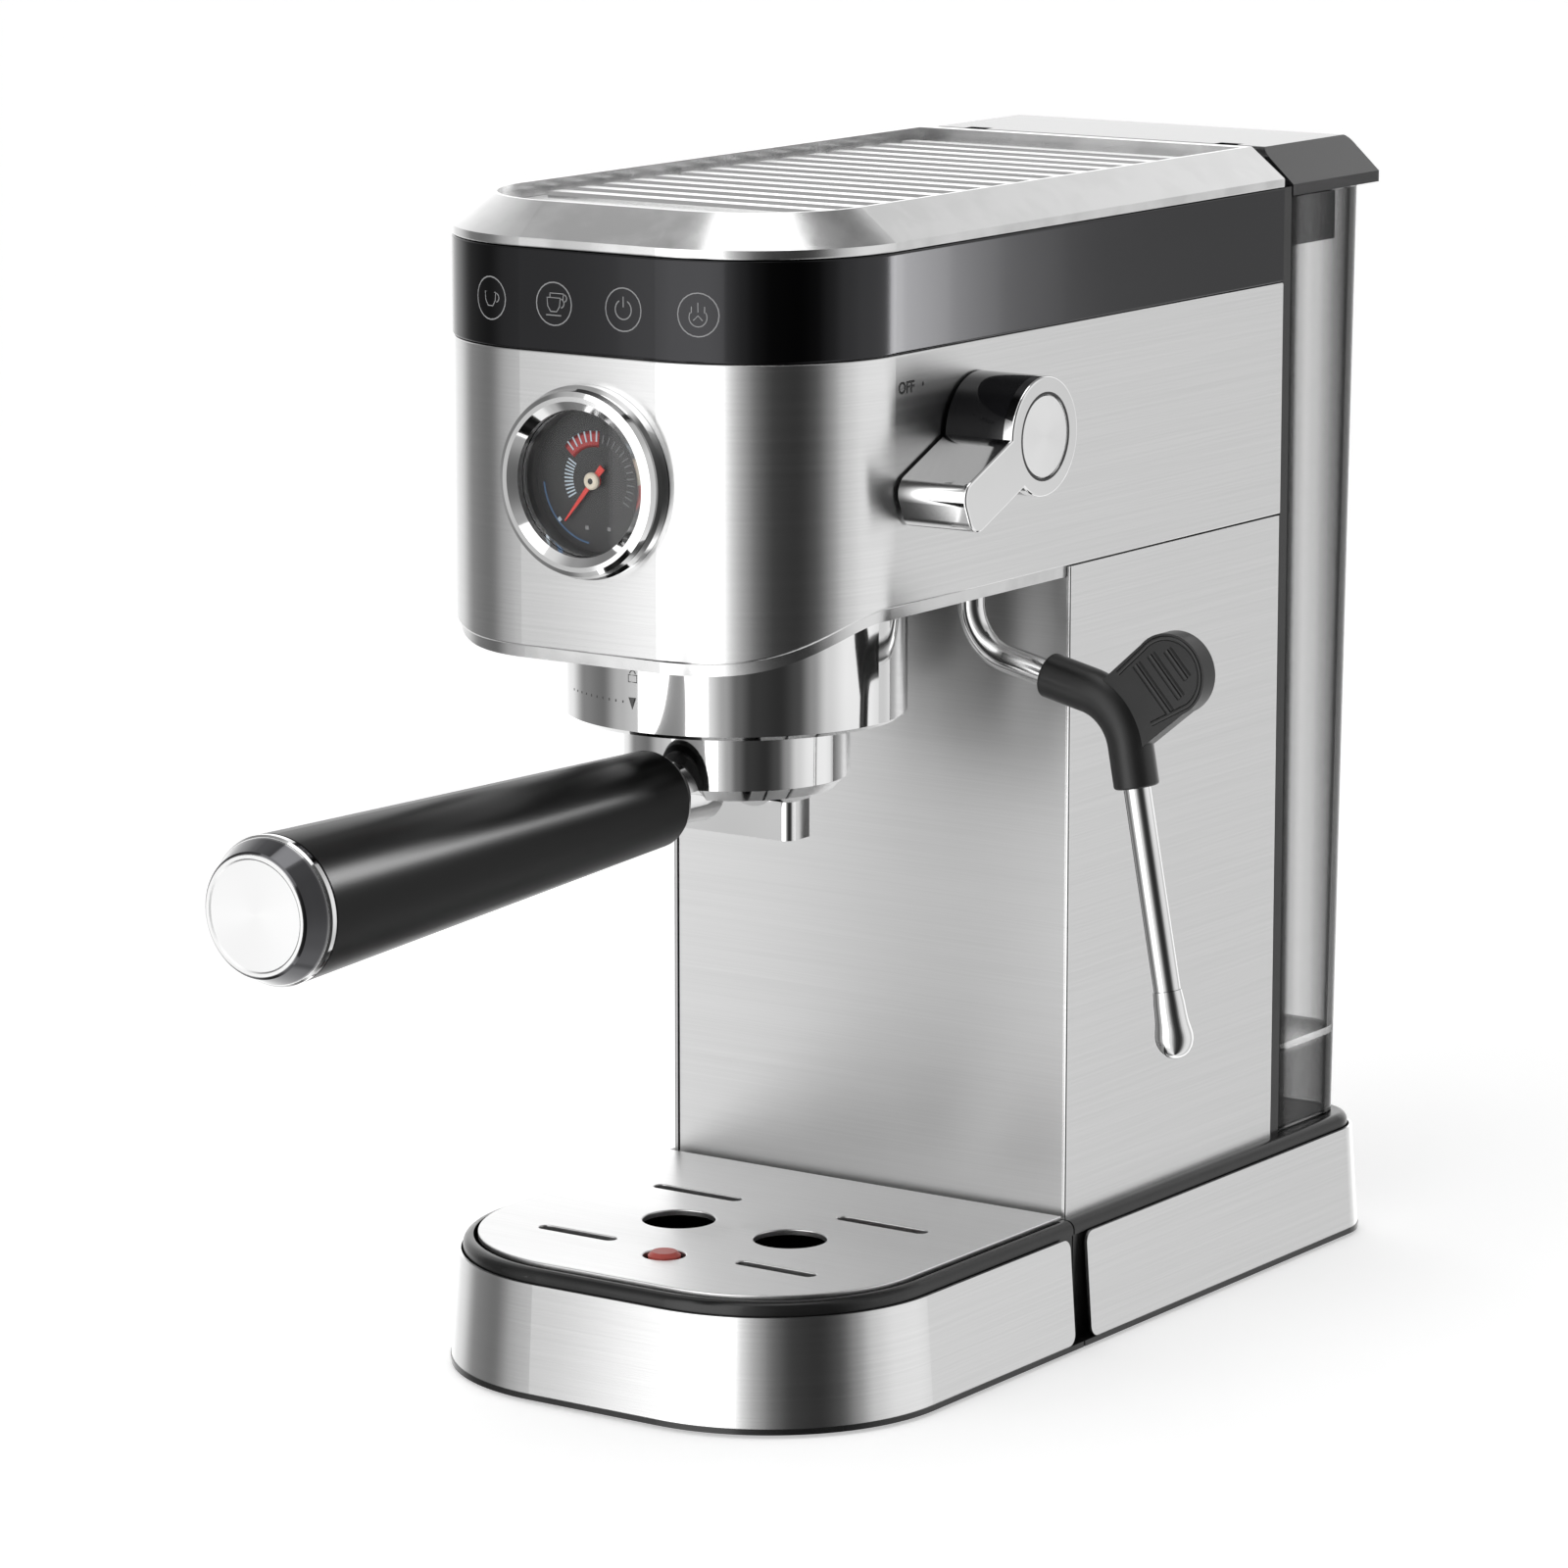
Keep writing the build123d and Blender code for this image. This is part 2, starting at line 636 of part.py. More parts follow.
# ---------------------------------------------------------------- chassis and works
chassis_z = side_seam + 3.0
chassis_sheet = 1.5
leg_y = column_depth / 2 - 2.7
leg_width = 30.0
group_hole = collar_bore + 0.5
with BuildPart() as chassis:
    with BuildSketch(level(chassis_z)):
        plan(column_width - 2 * (sheet + 1.0), -head_reach + 14, column_depth - 14, head_corner - 6)
        with Locations((0, -group_reach)):
            Circle(group_hole, mode=Mode.SUBTRACT)
        with Locations((wand_x, wand_y)):
            Circle(7.5, mode=Mode.SUBTRACT)
        with Locations((0, 45)):
            Rectangle(60, 40, mode=Mode.SUBTRACT)
    extrude(amount=chassis_sheet)
    for side in (-1, 1):
        prism(level(deck_top), chassis_sheet, leg_width, (side * (column_width / 2 - sheet - 2.5), leg_y),
              chassis_z - deck_top)
        prism(level(deck_top), 12.0, leg_width, (side * (column_width / 2 - sheet - 8.5), leg_y), 1.5)
write(chassis, "chassis")

lip_top = collar_low + lip_height
groove_top = lip_top + groove_height
gasket_low = rim_top + 1.3
gasket_top = gasket_low + 4.0
with BuildPart() as group_collar:
    upright(group_section, (collar_bore, collar_low + 1), (collar_bore + 1, collar_low),
            (collar_radius - 1, collar_low), (collar_radius, collar_low + 1), (collar_radius, chassis_z),
            (collar_bore, chassis_z), (collar_bore, groove_top), (groove_radius, groove_top),
            (groove_radius, lip_top), (collar_bore, lip_top))
    # two entries for the filter holder's lugs, an eighth of a turn from locked
    for start in (0, 180):
        with BuildSketch(level(collar_low - 1)) as entry:
            with Locations((0, -group_reach)):
                Circle(groove_radius)
                Polygon(*wedge(start - lug_entry, lug_width / 2 + 3, 2 * collar_radius), align=None,
                        mode=Mode.INTERSECT)
                Circle(collar_bore - 1, mode=Mode.SUBTRACT)
        extrude(entry.sketch, amount=lip_height + 2, mode=Mode.SUBTRACT)
write(group_collar, "group_collar")

flange_radius = collar_bore + 7.5
with BuildPart() as group_head:
    upright(group_section, (0, gasket_top + seat), (collar_bore - seat, gasket_top + seat),
            (collar_bore - seat, chassis_z + chassis_sheet), (flange_radius, chassis_z + chassis_sheet),
            (flange_radius, chassis_z + 6), (0, chassis_z + 6))
    upright(group_section, (0, rim_top), (2.0 + seat, rim_top), (2.0 + seat, screen_low + 9),
            (0, screen_low + 9), mode=Mode.SUBTRACT)
write(group_head, "group_head")

with BuildPart() as group_gasket:
    upright(group_section, (basket_radius - 0.5, gasket_low), (collar_bore - seat, gasket_low),
            (collar_bore - seat, gasket_top), (basket_radius - 0.5, gasket_top))
write(group_gasket, "group_gasket")

# perforated disc that spreads the water
screen_radius = basket_radius - 0.8
screen_hole = 0.9
with BuildPart() as shower_screen:
    upright(group_section, (2.2, screen_low), (screen_radius, screen_low), (screen_radius, screen_low + 2.3),
            (screen_radius - 1, screen_low + 2.3), (screen_radius - 1, screen_low + 1), (2.2, screen_low + 1))
    with BuildSketch(level(screen_low - 8)) as holes:
        for ring_radius, count in ((7.0, 8), (12.0, 12), (17.0, 16)):
            with Locations((0, -group_reach)):
                with PolarLocations(ring_radius, count):
                    Circle(screen_hole)
    extrude(holes.sketch, amount=20, mode=Mode.SUBTRACT)
write(shower_screen, "shower_screen")

boiler_low = chassis_z + 6 + seat
boiler_split = boiler_low + 14.0
boiler_high = boiler_split + 14.0
boiler_radius = min(wand_x - 10.5,        # clears the steam valve and the gauge's can
                    head_reach - can_depth - group_reach - 1.5)
with BuildPart() as boiler_base:
    upright(group_section, (0, boiler_low), (boiler_radius, boiler_low), (boiler_radius, boiler_split),
            (boiler_radius - 6, boiler_split), (boiler_radius - 6, boiler_low + 5), (0, boiler_low + 5))
write(boiler_base, "boiler_base")

with BuildPart() as boiler_cover:
    upright(group_section, (0, boiler_high - 5), (boiler_radius - 6, boiler_high - 5),
            (boiler_radius - 6, boiler_split + seat), (boiler_radius, boiler_split + seat),
            (boiler_radius, boiler_high - 3), (boiler_radius - 3, boiler_high), (0, boiler_high))
write(boiler_cover, "boiler_cover")

with BuildPart() as thermostats:
    for x in (-18.0, 18.0):
        disc(level(boiler_high + seat), 8.0, (x, -group_reach), 5.0)
        disc(level(boiler_high + seat), 3.0, (x, -group_reach), 9.0)
write(thermostats, "thermostats")

valve_low = knob_height - 14
with BuildPart() as steam_valve:
    prism(level(valve_low), 16.0, 26.0, (wand_x - 2, knob_y + 3), 26.0)
    disc(level(chassis_z + chassis_sheet + 0.5), 6.0, (wand_x, wand_y), valve_low - chassis_z + 8)
    prism(level(valve_low), 12.0, 24.0, (wand_x, (knob_y + wand_y) / 2 + 4), 12.0)
    disc(sideways(wand_x - 8), stem_radius + running, (knob_y, knob_height), 30.0, mode=Mode.SUBTRACT)
write(steam_valve, "steam_valve")

pump_x = -16.0
pump_y = column_depth / 2 + 3.3
pump_low = 70.0
pump_section = Plane(origin=(shift_x + pump_x, shift_y + pump_y, 0), x_dir=(1, 0, 0), z_dir=(0, -1, 0))
with BuildPart() as pump:
    upright(pump_section, (0, pump_low), (9, pump_low), (9, pump_low + 14), (15, pump_low + 16),
            (15, pump_low + 74), (9, pump_low + 76), (9, pump_low + 88), (5, pump_low + 90),
            (5, pump_low + 100), (0, pump_low + 100))
    prism(level(pump_low + 22), 36.0, 44.0, (pump_x, pump_y), 40.0)
write(pump, "pump")

with BuildPart() as pump_mounts:
    for z in (pump_low + 4, pump_low + 79):
        upright(pump_section, (9 + seat, z), (17, z), (17, z + 6), (9 + seat, z + 6))
write(pump_mounts, "pump_mounts")


def hose(points, bends, radius, bore):
    """Round hose along a route with rounded corners, in the open part."""
    with BuildLine() as route:
        FilletPolyline(*points, radius=bends)
    start = Plane(origin=route.line @ 0, z_dir=route.line % 0)
    with BuildSketch(start) as ring:
        Circle(radius)
        Circle(bore, mode=Mode.SUBTRACT)
    sweep(ring.sketch, path=route.line)


def at(x, y, z):
    """A point of the machine in the model's own frame."""
    return (shift_x + x, shift_y + y, z)


with BuildPart() as inlet_hose:
    hose([at(0, tank_outlet_y, 27.5), at(0, tank_outlet_y, 14.0), at(0, pump_y + 29, 14.0),
          at(pump_x, pump_y, 30),
          at(pump_x, pump_y, pump_low - 0.2)], 9.0, 4.0, 2.5)
write(inlet_hose, "inlet_hose")

with BuildPart() as pressure_hose:
    hose([at(pump_x, pump_y, pump_low + 100.2), at(pump_x, pump_y, boiler_low + 10.9),
          at(pump_x, -group_reach + boiler_radius - 2, boiler_low + 10.9)], 12.0, 3.0, 1.5)
write(pressure_hose, "pressure_hose")

# mains board with its relay, transformer and capacitor
board_y = column_depth / 2 + 2.3
board_z = 120.0
board_sheet = 1.6
with BuildPart() as control_board:
    prism(sideways(24.0), 60.0, 90.0, (board_y, board_z), board_sheet)
    prism(sideways(24.0 + board_sheet), 16.0, 14.0, (board_y - 17, board_z + 30), 15.0)
    prism(sideways(24.0 + board_sheet), 18.0, 22.0, (board_y + 11, board_z + 20), 16.0)
    disc(sideways(24.0 + board_sheet), 5.0, (board_y - 15, board_z - 20), 12.0)
write(control_board, "control_board")

# ---------------------------------------------------------------- gauge
front = head_reach
with BuildPart() as gauge_bezel:
    lengthwise(gauge_section, (front + seat, can_radius), (front + seat, bezel_radius),
               (front + 2.6, bezel_radius), (front + 3.4, bezel_radius - 0.9),
               (front + 4.6, bezel_radius - 0.6), (front + bezel_proud - 0.6, bezel_radius - 1.2),
               (front + bezel_proud, bezel_radius - 2.4), (front + bezel_proud, bezel_radius - 3.6),
               (front + bezel_proud - 1.6, glass_radius), (front + 1.0, glass_radius),
               (front + 1.0, can_radius))
write(gauge_bezel, "gauge_bezel")

with BuildPart() as gauge_body:
    lengthwise(gauge_section, (front - can_depth, 0), (front - can_depth, can_radius - 1),
               (front + 0.9, can_radius - 1), (front + 0.9, can_radius - 2.2),
               (front - 4.0, can_radius - 2.2), (front - 4.0, can_radius - 3.0),
               (front - can_depth + 2, can_radius - 3.0), (front - can_depth + 2, 0))
    fillet(gauge_body.edges().group_by(Axis.Y)[-1], 2.0)
write(gauge_body, "gauge_body")

dial_front = front - 3.2
arbor = 0.7
with BuildPart() as gauge_dial:
    lengthwise(gauge_section, (dial_front - 0.7, arbor + running), (dial_front - 0.7, can_radius - 2.3),
               (dial_front, can_radius - 2.3), (dial_front, arbor + running))
write(gauge_dial, "gauge_dial")

with BuildPart() as gauge_glass:
    lengthwise(gauge_section, (front + 1.6, 0), (front + 1.6, glass_radius - seat),
               (front + 3.0, glass_radius - seat), (front + 3.0, 0))
write(gauge_glass, "gauge_glass")

# pointer, tail and hub on a short arbor
pointer = Plane(origin=(shift_x + gauge_x, shift_y - dial_front - 1.0, gauge_height),
                x_dir=(cos(radians(needle_angle)), 0, sin(radians(needle_angle))), z_dir=(0, -1, 0))
with BuildPart() as gauge_needle:
    with BuildSketch(pointer) as blade:
        Polygon((-4.5, -0.9), (0, -0.7), (needle_length, -0.2), (needle_length, 0.2), (0, 0.7),
                (-4.5, 0.9), align=None)
    extrude(blade.sketch, amount=0.4)
    lengthwise(gauge_section, (dial_front - 3.0, 0), (dial_front - 3.0, arbor), (dial_front + 0.5, arbor),
               (dial_front + 0.5, 1.9), (dial_front + 2.0, 1.9), (dial_front + 2.4, 1.3),
               (dial_front + 2.4, 0))
write(gauge_needle, "gauge_needle")

# ---------------------------------------------------------------- filter holder
arm_root = 18.0 - (handle_start - group_reach)          # inside the bowl's wall
with BuildPart() as portafilter_body:
    # arm boss towards the handle, then the bowl
    lengthwise(handle_section, (arm_root, neck_radius + 1.2), (-4.0, neck_radius), (-4.0, 0), (arm_root, 0))
    upright(group_section, (0, spout_top + 0.2), (9.0, spout_top + 0.2), (bowl_radius - 3, bowl_low - 1.5),
            (bowl_radius, bowl_low + 1.5), (bowl_radius, collar_low + 2), (holder_rim, collar_low + 4),
            (holder_rim, rim_top), (0, rim_top))
    for start in (0, 180):
        with BuildSketch(level(lip_top + 0.5)) as lug:
            with Locations((0, -group_reach)):
                Circle(lug_radius)
                Polygon(*wedge(start, lug_width / 2, 2 * lug_radius), align=None, mode=Mode.INTERSECT)
        extrude(lug.sketch, amount=groove_height - 1.2)
    upright(group_section, (0, rim_top - basket_depth - 2), (bowl_bore, rim_top - basket_depth - 2),
            (bowl_bore, rim_top + 1), (0, rim_top + 1), mode=Mode.SUBTRACT)
    upright(group_section, (0, spout_top - 5), (3.0, spout_top - 5), (3.0, rim_top), (0, rim_top),
            mode=Mode.SUBTRACT)
    lengthwise(handle_section, (-12.0, rod_radius), (0, rod_radius), (0, 0), (-12.0, 0), mode=Mode.SUBTRACT)
write(portafilter_body, "portafilter_body")

with BuildPart() as spout:
    prism(level(spout_low), 2 * spout_half, spout_width, (0, -group_reach), spout_top - spout_low)
    fillet(spout.edges().filter_by(Axis.Z), 2.5)
    prism(level(spout_low + 4), 2 * spout_half - 8, 5.0, (0, -group_reach), 4.0, mode=Mode.SUBTRACT)
    for x in (-spout_half + 6.5, spout_half - 6.5):
        disc(level(spout_low - 1), 2.6, (x, -group_reach), 6.0, mode=Mode.SUBTRACT)
    disc(level(spout_low + 5), 3.0, (0, -group_reach), 10.0, mode=Mode.SUBTRACT)
write(spout, "spout")

basket_low = rim_top - basket_depth
with BuildPart() as filter_basket:
    upright(group_section, (0, basket_low), (basket_radius - 3, basket_low), (basket_radius, basket_low + 3),
            (basket_radius, rim_top + seat), (holder_rim - 1.5, rim_top + seat),
            (holder_rim - 1.5, rim_top + seat + 0.8), (basket_radius - basket_wall, rim_top + seat + 0.8),
            (basket_radius - basket_wall, basket_low + 3.2), (basket_radius - 3.2, basket_low + basket_wall),
            (0, basket_low + basket_wall))
    with BuildSketch(level(basket_low - 1)) as holes:
        for ring_radius, count in ((5.0, 6), (10.0, 12), (15.0, 18)):
            with Locations((0, -group_reach)):
                with PolarLocations(ring_radius, count):
                    Circle(0.8)
    extrude(holes.sketch, amount=3, mode=Mode.SUBTRACT)
write(filter_basket, "filter_basket")

# open wire ring that grips the basket
spring_wire = 0.4
with BuildPart() as basket_spring:
    with BuildSketch(group_section) as wire:
        with Locations((basket_radius + 0.5, rim_top - 8)):
            Circle(spring_wire)
    revolve(wire.sketch, axis=Axis(group_section.origin, (0, 0, 1)), revolution_arc=310)
write(basket_spring, "basket_spring")

with BuildPart() as handle_neck:
    lengthwise(handle_section, (-12.0 + seat, 0), (-12.0 + seat, rod_radius), (-4.0 + seat, rod_radius),
               (-4.0 + seat, neck_radius), (-1.5, neck_radius + 1.6), (-seat, neck_radius + 2.0),
               (-seat, rod_radius), (rod_length, rod_radius), (rod_length, 0))
write(handle_neck, "handle_neck")

with BuildPart() as handle_grip:
    lengthwise(handle_section, (0, rod_radius + running), (0, grip_inner_radius - 2.6),
               (0.9, grip_inner_radius - 0.9), (2.8, grip_inner_radius), (grip_length, grip_outer_radius),
               (grip_length, grip_hollow), (grip_length - plug_length - 4, grip_hollow),
               (grip_length - plug_length - 4, grip_core), (rod_length + 1, grip_core),
               (rod_length + 1, rod_radius + running))
write(handle_grip, "handle_grip")

ring_end = grip_length + grip_ring_width
with BuildPart() as grip_ring:
    lengthwise(handle_section, (grip_length + seat, grip_core), (grip_length + seat, grip_outer_radius - 0.5),
               (grip_length + 0.6, grip_outer_radius), (ring_end - 0.5, grip_outer_radius),
               (ring_end, grip_outer_radius - 0.5), (ring_end, grip_core))
write(grip_ring, "grip_ring")

cap_end = ring_end + end_cap_length
with BuildPart() as end_cap:
    lengthwise(handle_section, (grip_length - plug_length, 0), (grip_length - plug_length, grip_core - 0.5),
               (ring_end + seat, grip_core - 0.5),
               (ring_end + seat, grip_outer_radius - 0.6), (cap_end - 0.6, end_disc_radius + 0.7),
               (cap_end, end_disc_radius), (cap_end, end_disc_radius - 0.8),
               (cap_end - 0.3, end_disc_radius - 1.2), (cap_end - 0.3, 0))
write(end_cap, "end_cap")

# ---------------------------------------------------------------- steam knob
knob_low = column_width / 2 + gap + 0.5
ring_low = knob_face - knob_ring
with BuildPart() as knob_body:
    lengthwise(knob_section, (knob_low, 0), (knob_low, knob_radius), (ring_low, knob_radius), (ring_low, 0))
    lengthwise(knob_section, (knob_low - 1, 0), (knob_low - 1, stem_radius),
               (knob_low + stem_socket, stem_radius),
               (knob_low + stem_socket, 0), mode=Mode.SUBTRACT)
write(knob_body, "knob_body")

lever = Plane(origin=(shift_x + knob_low, shift_y + knob_y, knob_height),
              x_dir=(0, -cos(radians(lever_angle)), -sin(radians(lever_angle))), z_dir=(1, 0, 0))
with BuildPart() as knob_lever:
    with BuildSketch(lever) as arm:
        with Locations((lever_length / 2, 0)):
            Rectangle(lever_length, lever_width)
        fillet(arm.vertices().group_by(Axis.X)[-1], 4.5)
        Circle(knob_radius + seat, mode=Mode.SUBTRACT)
    extrude(arm.sketch, amount=knob_face - knob_low)
    with BuildSketch(lever) as face:
        Circle(knob_radius)
        with Locations((lever_length / 2, 0)):
            Rectangle(lever_length - 10, lever_width)
    extrude(face.sketch.moved(Location((ring_low + seat - knob_low, 0, 0))), amount=knob_ring - seat)
    disc(sideways(ring_low + 1.6), knob_disc_radius + seat, (knob_y, knob_height), 10, mode=Mode.SUBTRACT)
    fillet(knob_lever.faces().sort_by(Axis.X)[-1].edges(), sheet_edge)
write(knob_lever, "knob_lever")

with BuildPart() as knob_disc:
    disc(sideways(ring_low + 1.7), knob_disc_radius, (knob_y, knob_height), knob_ring - 1.9)
    chamfer(knob_disc.edges().group_by(Axis.X)[-1], 0.3)
write(knob_disc, "knob_disc")

with BuildPart() as valve_stem:
    disc(sideways(wand_x - 5), stem_radius, (knob_y, knob_height), knob_low + stem_socket - seat - wand_x + 5)
write(valve_stem, "valve_stem")

# ---------------------------------------------------------------- steam wand
socket_low = side_seam - underside_depth + 0.3
with BuildPart() as wand_socket:
    socket_section = Plane(origin=at(wand_x, wand_y, 0), x_dir=(1, 0, 0), z_dir=(0, -1, 0))
    upright(socket_section, (wand_radius + running, socket_low), (6.6, socket_low),
            (6.6, chassis_z - seat), (wand_radius + running, chassis_z - seat))
write(wand_socket, "wand_socket")

wand_top = (wand_x, chassis_z - 0.5)
with BuildPart() as wand_tube:
    with BuildLine(wand_section) as route:
        FilletPolyline(wand_top, (wand_x, wand_elbow_z), wand_knee, wand_end,
                       radius=[elbow_radius, knee_radius])
    with BuildSketch(Plane(origin=route.line @ 0, z_dir=route.line % 0)) as ring:
        Circle(wand_radius)
    sweep(ring.sketch, path=route.line)
write(wand_tube, "wand_tube")

grip_start = column_width / 2 + 7.5
fall = (wand_knee[1] - wand_elbow_z) / (wand_knee[0] - wand_x)
grip_top = (grip_start, wand_elbow_z + (grip_start - wand_x) * fall)
slope = (wand_end[0] - wand_knee[0]) / (wand_end[1] - wand_knee[1])
grip_low_z = side_seam - wand_grip_drop
grip_low = (wand_knee[0] + (grip_low_z - wand_knee[1]) * slope, grip_low_z)
with BuildPart() as wand_grip:
    with BuildLine(wand_section) as grip_route:
        FilletPolyline(grip_top, wand_knee, grip_low, radius=knee_radius)
    with BuildSketch(Plane(origin=grip_route.line @ 0, z_dir=grip_route.line % 0)) as ring:
        Circle(wand_grip_radius)
    sweep(ring.sketch, path=grip_route.line)
    fillet(wand_grip.edges().filter_by(GeomType.CIRCLE), 0.8)
    with BuildSketch(wand_section) as tab:
        with Locations(thumb_centre):
            Circle(thumb_radius)
        Polygon(*[(wand_knee[0] + x, wand_knee[1] + z)
                  for x, z in ((-6.5, 4.4), (8.4, 17.8), (22.5, 2.6), (7.0, -10.1))], align=None)
    extrude(tab.sketch, amount=thumb_thickness / 2, both=True)
    with BuildSketch(Plane(origin=grip_route.line @ 0, z_dir=grip_route.line % 0)) as bore:
        Circle(wand_radius + seat / 2)
    sweep(bore.sketch, path=grip_route.line, mode=Mode.SUBTRACT)
write(wand_grip, "wand_grip")

tip_dir = Vector(wand_end[0] - wand_knee[0], 0, wand_end[1] - wand_knee[1]).normalized()
nozzle_section = Plane(origin=at(wand_end[0], wand_y, wand_end[1]), x_dir=tip_dir, z_dir=(0, 1, 0))
with BuildPart() as wand_nozzle:
    with BuildSketch(nozzle_section) as profile:
        with BuildLine():
            Polyline((seat, 0), (seat, wand_radius + 0.2), (3.0, wand_radius + 0.5))
            Spline((3.0, wand_radius + 0.5), (8.5, nozzle_radius - 0.5), (12.5, nozzle_radius),
                   (nozzle_length - 1.2, 3.2), (nozzle_length, 0), tangents=((1, 0.08), (0, -1)))
            Line((nozzle_length, 0), (seat, 0))
        make_face()
    revolve(profile.sketch, axis=Axis(nozzle_section.origin, tip_dir))
write(wand_nozzle, "wand_nozzle")

# ---------------------------------------------------------------- water tank
def tank_block(inset, low, high, mode=Mode.ADD):
    """Tapered block of the tank's outline, moved in by a wall, between two heights, in the open part."""
    lean = (tank_back_high - tank_back_low) / (tank_top - tank_low)
    faces_to_join = []
    for z in (low, high):
        with BuildSketch(level(z)) as outline:
            plan(tank_width - 2 * inset, tank_front + inset,
                 tank_back_low + lean * (z - tank_low) - inset, 0, tank_corner - inset)
        faces_to_join.append(outline.sketch.face())
    loft(faces_to_join, mode=mode)


with BuildPart() as water_tank:
    tank_block(0, tank_low, tank_top)
    tank_block(wall, tank_floor, tank_top + 1, mode=Mode.SUBTRACT)
    tank_block(wall, tank_low - 1, tank_floor - wall, mode=Mode.SUBTRACT)
    disc(level(tank_low + 2), outlet_radius + 2.5, (0, tank_outlet_y), tank_floor - tank_low - 3)
    disc(level(tank_low), outlet_radius, (0, tank_outlet_y), tank_floor + 5 - tank_low, mode=Mode.SUBTRACT)
    # two ears in front carry the lid's pins
    for side in (-1, 1):
        prism(level(tank_top - 20), ear_width, 4.0, (side * hinge_x, tank_front + 2.0), 32.4)
    hinge_y = tank_front + 2.0
    hinge_z = tank_top + 10.8
    fillet(water_tank.edges().group_by(Axis.Z)[-1].filter_by(Axis.X), 1.6)
    for side in (-1, 1):
        disc(sideways(side * hinge_x - ear_width), hinge_pin + running, (hinge_y, hinge_z), 2 * ear_width,
             mode=Mode.SUBTRACT)
write(water_tank, "water_tank")

with BuildPart() as tank_valve:
    valve_section = Plane(origin=at(0, tank_outlet_y, 0), x_dir=(1, 0, 0), z_dir=(0, -1, 0))
    upright(valve_section, (0, tank_floor - 6), (outlet_radius - seat, tank_floor - 6),
            (outlet_radius - seat, tank_floor + 1),
            (3.0, tank_floor + 1), (3.0, tank_floor + 5), (0, tank_floor + 5))
write(tank_valve, "tank_valve")

# spigot on the deck that opens the tank's valve
with BuildPart() as tank_seat:
    upright(valve_section, (2.5, band_top - 3), (outlet_radius + 1.4, band_top - 3),
            (outlet_radius + 1.4, deck_top - 0.5),
            (outlet_radius - 1.1, deck_top + 2), (outlet_radius - 1.1, deck_top + 14), (2.5, deck_top + 14))
write(tank_seat, "tank_seat")

lid_low = tank_top + gap + 0.2
lid_front = tank_front + 0.1
with BuildPart() as tank_lid:
    with BuildSketch(facing(lid_front)) as outline:
        Polygon((-column_width / 2, lid_low), (column_width / 2, lid_low),
                (column_width / 2, lid_low + lid_side),
                (column_width / 2 - cover_bevel, top_height - 0.6),
                (cover_bevel - column_width / 2, top_height - 0.6),
                (-column_width / 2, lid_low + lid_side), align=None)
    extrude(outline.sketch, amount=-(lid_back - lid_front))
    fillet(tank_lid.edges().filter_by(Axis.X).group_by(Axis.Y)[0].sort_by(Axis.Z)[-1], 3.0)
    fillet(tank_lid.edges().filter_by(Axis.X).group_by(Axis.Y)[-1].sort_by(Axis.Z)[-1], 2.0)
    prism(level(lid_low - 1), column_width - 2 * cover_bevel, lid_back - lid_front - 2 * wall - 4,
          (0, (lid_front + lid_back) / 2 + 2), top_height - 0.6 - wall - lid_low + 1, mode=Mode.SUBTRACT)
    # skirts that hang inside the tank's sides
    for side in (-1, 1):
        prism(level(lid_low - 14), 2.0, 24.0, (side * (tank_width / 2 - wall - 2.0), tank_front + 16), 16.0)
    # slots for the ears, bridged by the pins
    for side in (-1, 1):
        prism(level(lid_low - 1), ear_width + 1.0, 7.0, (side * hinge_x, lid_front + 2.5), 30,
              mode=Mode.SUBTRACT)
        disc(sideways(side * hinge_x - ear_width / 2 - 0.6), hinge_pin, (hinge_y, hinge_z), ear_width + 1.2)
write(tank_lid, "tank_lid")
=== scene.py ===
"""Looks of a slim home espresso machine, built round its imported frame. Metres, in the frame's own axes."""
import math

import bpy
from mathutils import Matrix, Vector


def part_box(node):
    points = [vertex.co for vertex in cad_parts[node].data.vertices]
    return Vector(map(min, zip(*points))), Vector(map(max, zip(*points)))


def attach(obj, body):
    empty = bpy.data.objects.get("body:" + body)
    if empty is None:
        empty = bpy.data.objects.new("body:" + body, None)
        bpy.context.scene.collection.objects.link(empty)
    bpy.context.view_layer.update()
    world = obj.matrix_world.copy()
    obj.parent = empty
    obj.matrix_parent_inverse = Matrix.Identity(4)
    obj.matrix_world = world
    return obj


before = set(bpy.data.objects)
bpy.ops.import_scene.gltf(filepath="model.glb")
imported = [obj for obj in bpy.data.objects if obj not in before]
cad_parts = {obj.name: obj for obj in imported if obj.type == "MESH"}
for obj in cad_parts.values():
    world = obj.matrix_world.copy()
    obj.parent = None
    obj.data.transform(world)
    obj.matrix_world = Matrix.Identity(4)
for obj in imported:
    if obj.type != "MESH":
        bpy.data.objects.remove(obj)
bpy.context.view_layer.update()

# ------------------------------------------------------------------ studio
# A plain white floor in a light tent: the tent's walls are pale and dark by turns, so that polished and
# brushed steel show soft upright bands. A tall soft box stands before the machine and one hangs above it;
# smaller strips light the splash panel, the control band and the handle's grip alone.
MM = 0.001
mid_x = (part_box("base_pan")[0].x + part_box("base_pan")[1].x) / 2
splash_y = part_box("splash_panel")[0].y - 0.5 * MM


def at(x, y, z):
    """A point in millimetres from the splash panel's middle at counter level, right, back and up."""
    return Vector((mid_x + x * MM, splash_y + y * MM, z * MM))


def shader_tree(owner):
    """The owner's node tree, emptied, with a function that adds a node and one that links two sockets."""
    owner.use_nodes = True
    tree = owner.node_tree
    tree.nodes.clear()

    def add(kind, **settings):
        node = tree.nodes.new(kind)
        for name, value in settings.items():
            setattr(node, name, value)
        return node

    return tree, add, tree.links.new


